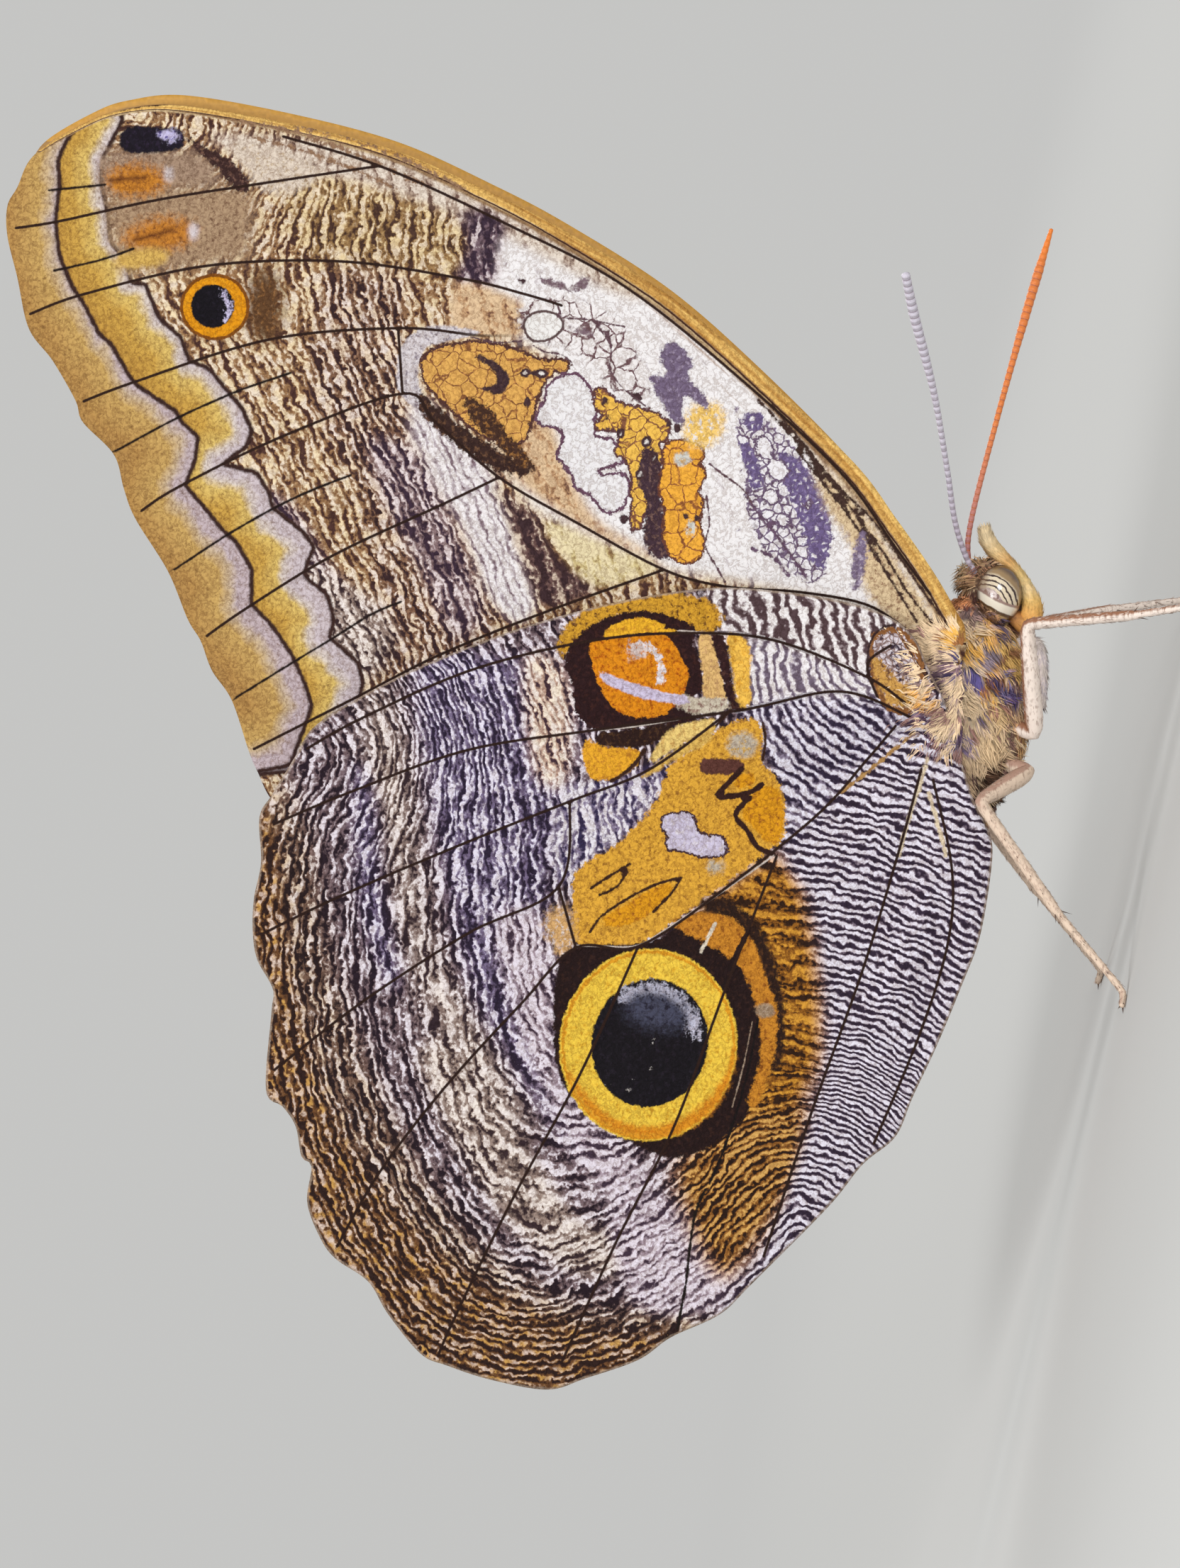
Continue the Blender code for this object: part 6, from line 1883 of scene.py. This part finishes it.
def costal_bands(s, place, colour):
    """Golden front edge of the forewing with a dark line inside it."""
    depth = s.add(s.attribute("costa"), s.times(s.noise(place, 1.2), 0.12))
    streak = s.noise(s.vector(s.times(depth, 3.0), s.times(s.parts(place)[0], 0.12),
                              s.times(s.parts(place)[1], 0.12)), 1.0, 3.0)
    colour = s.mix(s.times(s.step(depth, 4.6, 1.6), s.step(streak, 0.05, 0.3)), colour,
                   s.darken(colour, (0.62, 0.5, 0.42)))
    band = s.mix(s.step(streak, -0.2, 0.2), paint(190, 138, 66), paint(248, 206, 120))
    colour = s.mix(s.step(depth, 1.75, 1.35), colour, s.mix(s.step(streak, -0.1, 0.15),
                   paint(150, 118, 84), paint(206, 182, 142)))
    colour = s.mix(s.step(depth, 0.98, 0.86), colour, band)
    line = s.step(s.math("ABSOLUTE", s.add(depth, -1.06)), 0.11, 0.04)
    return s.mix(line, colour, paint(66, 36, 26))


def ripple_tones(s, place, x, z):
    """The ripples' tones over the whole wing, and the level that chose between them."""
    warp = s.add(s.times(s.noise(place, 0.35), 1.6), s.times(s.noise(place, 1.5), 0.62))
    clean = s.attribute("clean")
    loose = s.times(s.step(clean, 0.95, 0.5), 0.5)
    warp = s.add(warp, s.times(s.noise(place, 2.3, 2.0), loose))
    warped = s.add(s.attribute("across"), s.add(warp, s.times(s.noise(place, 3.6), 0.16)))
    streak = s.noise(s.vector(s.times(warped, 2.3), s.times(x, 0.5), s.times(z, 0.5)), 1.0, 3.0)
    blob = s.noise(place, 2.3, 3.0)
    striped = s.add(s.times(s.sine(warped, FINE_PERIOD), 0.62),
                    s.add(s.times(streak, 1.5), s.times(blob, 0.9)))
    mixed = s.add(s.add(s.times(s.sine(warped, MAJOR_PERIOD), 0.3), s.times(streak, 2.6)),
                  s.times(blob, 2.0))
    threshold = s.times(s.add(s.attribute("duty"), -0.5), 2.0)
    level = s.math("SUBTRACT", s.blend(clean, mixed, striped), threshold)
    pale_fleck = s.step(s.noise(s.vector(z, x, 0.0), 1.2, 3.0), -0.12, 0.12)
    light = s.mix(s.times(pale_fleck, s.attribute("fleck")), s.attribute("tone_light", "Color"),
                  paint(238, 232, 238))
    colour = s.mix(s.step(level, -0.36, 0.02), s.attribute("tone_dark", "Color"),
                   s.attribute("tone_mid", "Color"))
    return s.mix(s.step(level, 0.0, 0.36), colour, light), level


def lay_marks(s, place, crooked, edge, colour, marks):
    """The markings over the ripples, each over those listed before it."""
    speck = s.step(s.noise(place, 2.6, 4.0, 0.65), 0.0, 0.15)
    for title, mark in marks.items():
        depth = s.attribute("mark_" + title)
        if mark["rough"]:
            depth = s.add(depth, s.times(edge, mark["rough"] * 2))
        fill = paint(*mark["fill"])
        if mark["speck"] != mark["fill"]:
            fill = s.mix(speck, fill, paint(*mark["speck"]))
        if mark["net"]:
            density, half, between = mark["net"]
            line = s.add(s.cells(crooked, density), s.times(edge, max(half * 0.9, 0.07)))
            inside = s.mix(s.times(speck, 0.4), paint(*between), paint(*mark["speck"]))
            fill = s.mix(s.step(line, half, half * 2.2), fill, inside)
        colour = s.mix(s.step(depth, -mark["soft"], mark["soft"]), colour, fill)
        if mark["rim"]:
            near = s.math("ABSOLUTE", depth)
            half = mark["rim_half"]
            colour = s.mix(s.step(near, half + 0.06, half - 0.03), colour, paint(*mark["rim"]))
    return colour


def crease_shade_and_scale_wear(s, place, crooked, colour, level):
    """Painted shade in the creases, mottling, the veins' ink, flakes and grain, and the relief that they
    give.
    """
    busy = s.step(s.attribute("duty"), 0.08, 0.3)
    # The creases are darkened: painted shade laid over the grooves that they make in the relief.
    crease = s.math("ABSOLUTE", s.noise(crooked, 1.7, 3.0, 0.6))
    colour = s.mix(s.times(s.step(crease, 0.06, 0.0), 0.55), colour,
                   s.darken(colour, (0.46, 0.38, 0.34)))
    mottle = s.noise(place, 1.3, 4.0, 0.6)
    colour = s.mix(s.times(s.step(mottle, 0.02, 0.28), s.times(busy, 0.55)), colour,
                   s.darken(colour, (0.72, 0.66, 0.62)))
    vein = s.add(s.attribute("vein"), s.times(s.noise(place, 6.0), 0.05))
    colour = s.mix(s.times(s.step(vein, 0.14, 0.06), s.attribute("vein_ink")), colour,
                   paint(44, 26, 20))
    flakes = s.step(s.noise(place, 4.6, 2.0), 0.2, -0.28)
    colour = s.mix(s.times(flakes, s.add(s.times(busy, 0.75), 0.25)), colour,
                   s.darken(colour, (0.78, 0.74, 0.73)))
    grain = s.noise(place, 11.0, 2.0)
    colour = s.mix(s.step(grain, -0.3, 0.3), s.darken(colour, (0.87, 0.86, 0.86)), colour)
    relief = s.add(s.times(grain, 0.7), s.add(s.times(s.step(level, -0.3, 0.3), 0.4),
                                              s.step(crease, 0.0, 0.1)))
    return colour, relief


def underside_finish(kind):
    """The patterned outer face of a wing."""
    s = Shader(kind + "_underside", 0.75)
    s.surface.inputs["Specular IOR Level"].default_value = 0.12
    place = s.attribute("place", "Vector")
    x, z, _ = s.parts(place)
    colour, level = ripple_tones(s, place, x, z)
    edge = s.add(s.noise(place, 2.1, 3.0), s.times(s.noise(place, 7.0), 0.5))
    if kind == "forewing":
        colour = margin_cells(s, place, colour, edge)
        colour = costal_bands(s, place, colour)
    drift = s.vector(s.noise(place, 1.9), s.noise(s.vector(z, x, 3.7), 1.9), 0.0)
    crooked = s.shift(place, drift, 0.55)
    colour = lay_marks(s, place, crooked, edge, colour, WINGS[kind][-1])
    if kind == "hindwing":
        fringe = s.step(s.add(s.attribute("rim"), s.times(edge, 0.2)), 0.2, 0.08)
        colour = s.mix(s.times(fringe, 0.7), colour, paint(176, 156, 138))
    colour, relief = crease_shade_and_scale_wear(s, place, crooked, colour, level)
    s.colour(colour)
    s.bump(relief, 0.5, 0.00005)
    return s.material


def upperside_finish(kind):
    """The hidden face: brown, dusky blue towards the base, ochre beyond the middle."""
    forewing = kind == "forewing"
    s = Shader(kind + "_upperside", 0.6)
    place = s.attribute("place", "Vector")
    across = s.add(s.attribute("across"), s.times(s.noise(place, 0.5, 2.0), 2.0))
    colour = s.mix(s.step(across, 20.0, 32.0), paint(112, 82, 58), paint(86, 84, 112))
    if forewing:
        band = s.step(s.math("ABSOLUTE", s.add(across, -12.0)), 5.5, 2.5)
        colour = s.mix(band, colour, paint(182, 140, 84))
    colour = s.mix(s.step(across, 5.0, 2.5), colour, paint(96, 68, 48))
    fringe = s.step(s.attribute("rim"), 1.0, 0.4)
    colour = s.mix(fringe, colour, paint(168, 128, 74))
    if forewing:
        colour = s.mix(s.step(s.attribute("costa"), 2.6, 1.8), colour, paint(206, 154, 66))
    streaked = s.step(s.noise(place, 3.0), -0.3, 0.3)
    s.colour(s.mix(streaked, s.darken(colour, (0.8, 0.78, 0.76)), colour))
    return s.material


def build_wings():
    for kind in WINGS:
        finishes = [underside_finish(kind), upperside_finish(kind)]
        sheet = build_sheet(kind)
        for side_name, side in SIDES:
            lead = LEFT_FOREWING_LEAD_DEG if kind == "forewing" and side > 0 else 0.0
            build_wing(kind, side_name, side, lead, sheet, finishes)


def add_camera():
    data = bpy.data.cameras.new("camera")
    data.lens = CAMERA_LENS
    data.sensor_width = CAMERA_SENSOR
    camera = add_object("camera", data)
    upright = Matrix.Rotation(math.radians(90), 4, "X")
    camera.matrix_world = (Matrix.Translation(CAMERA_AT) @ upright
                           @ Matrix.Rotation(math.radians(-CAMERA_TURN_DEG), 4, "Z"))
    bpy.context.scene.camera = camera


def add_area_light(name, place_mm, target_mm, size_mm, power):
    data = bpy.data.lights.new(name, "AREA")
    data.shape = "DISK"
    data.size = size_mm * MM
    data.energy = power
    light = add_object(name, data)
    light.location = Vector(place_mm) * MM
    aim = Vector(target_mm) * MM - light.location
    light.rotation_euler = aim.to_track_quat("-Z", "Y").to_euler()


def add_stage():
    """A floor that fades into an even surround, with soft light from all sides."""
    mesh = bmesh.new()
    bmesh.ops.create_circle(mesh, cap_ends=True, segments=96, radius=FLOOR_RADIUS)
    data = bpy.data.meshes.new("floor")
    mesh.to_mesh(data)
    mesh.free()
    floor = add_object("floor", data)
    s = Shader("floor_finish", 0.9)
    s.surface.inputs["Specular IOR Level"].default_value = 0.0
    reach = s.node("VectorMath", {0: s.node("TexCoord").outputs["Object"]}, operation="LENGTH")
    fade = s.step(reach.outputs["Value"], *FLOOR_FADE)
    s.colour(s.mix(fade, FLOOR_ALBEDO, (0, 0, 0)))
    s.surface.inputs["Emission Strength"].default_value = 1.0
    s.put(s.surface.inputs["Emission Color"], s.mix(fade, (0, 0, 0), SURROUND))
    data.materials.append(s.material)
    world = bpy.data.worlds.new("surround")
    bpy.context.scene.world = world
    world.use_nodes = True
    background = world.node_tree.nodes["Background"]
    background.inputs["Color"].default_value = (*SURROUND, 1)
    background.inputs["Strength"].default_value = 1.0
    for light in LIGHTS:
        add_area_light(*light)
    bpy.context.scene.view_settings.view_transform = "Standard"


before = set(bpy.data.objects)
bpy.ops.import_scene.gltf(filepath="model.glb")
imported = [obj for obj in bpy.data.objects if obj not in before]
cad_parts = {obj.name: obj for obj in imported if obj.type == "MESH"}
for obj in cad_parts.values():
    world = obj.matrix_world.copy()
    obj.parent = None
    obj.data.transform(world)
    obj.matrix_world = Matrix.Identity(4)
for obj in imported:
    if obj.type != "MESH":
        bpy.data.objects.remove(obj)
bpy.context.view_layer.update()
add_camera()
add_stage()
build_wings()
build_body()
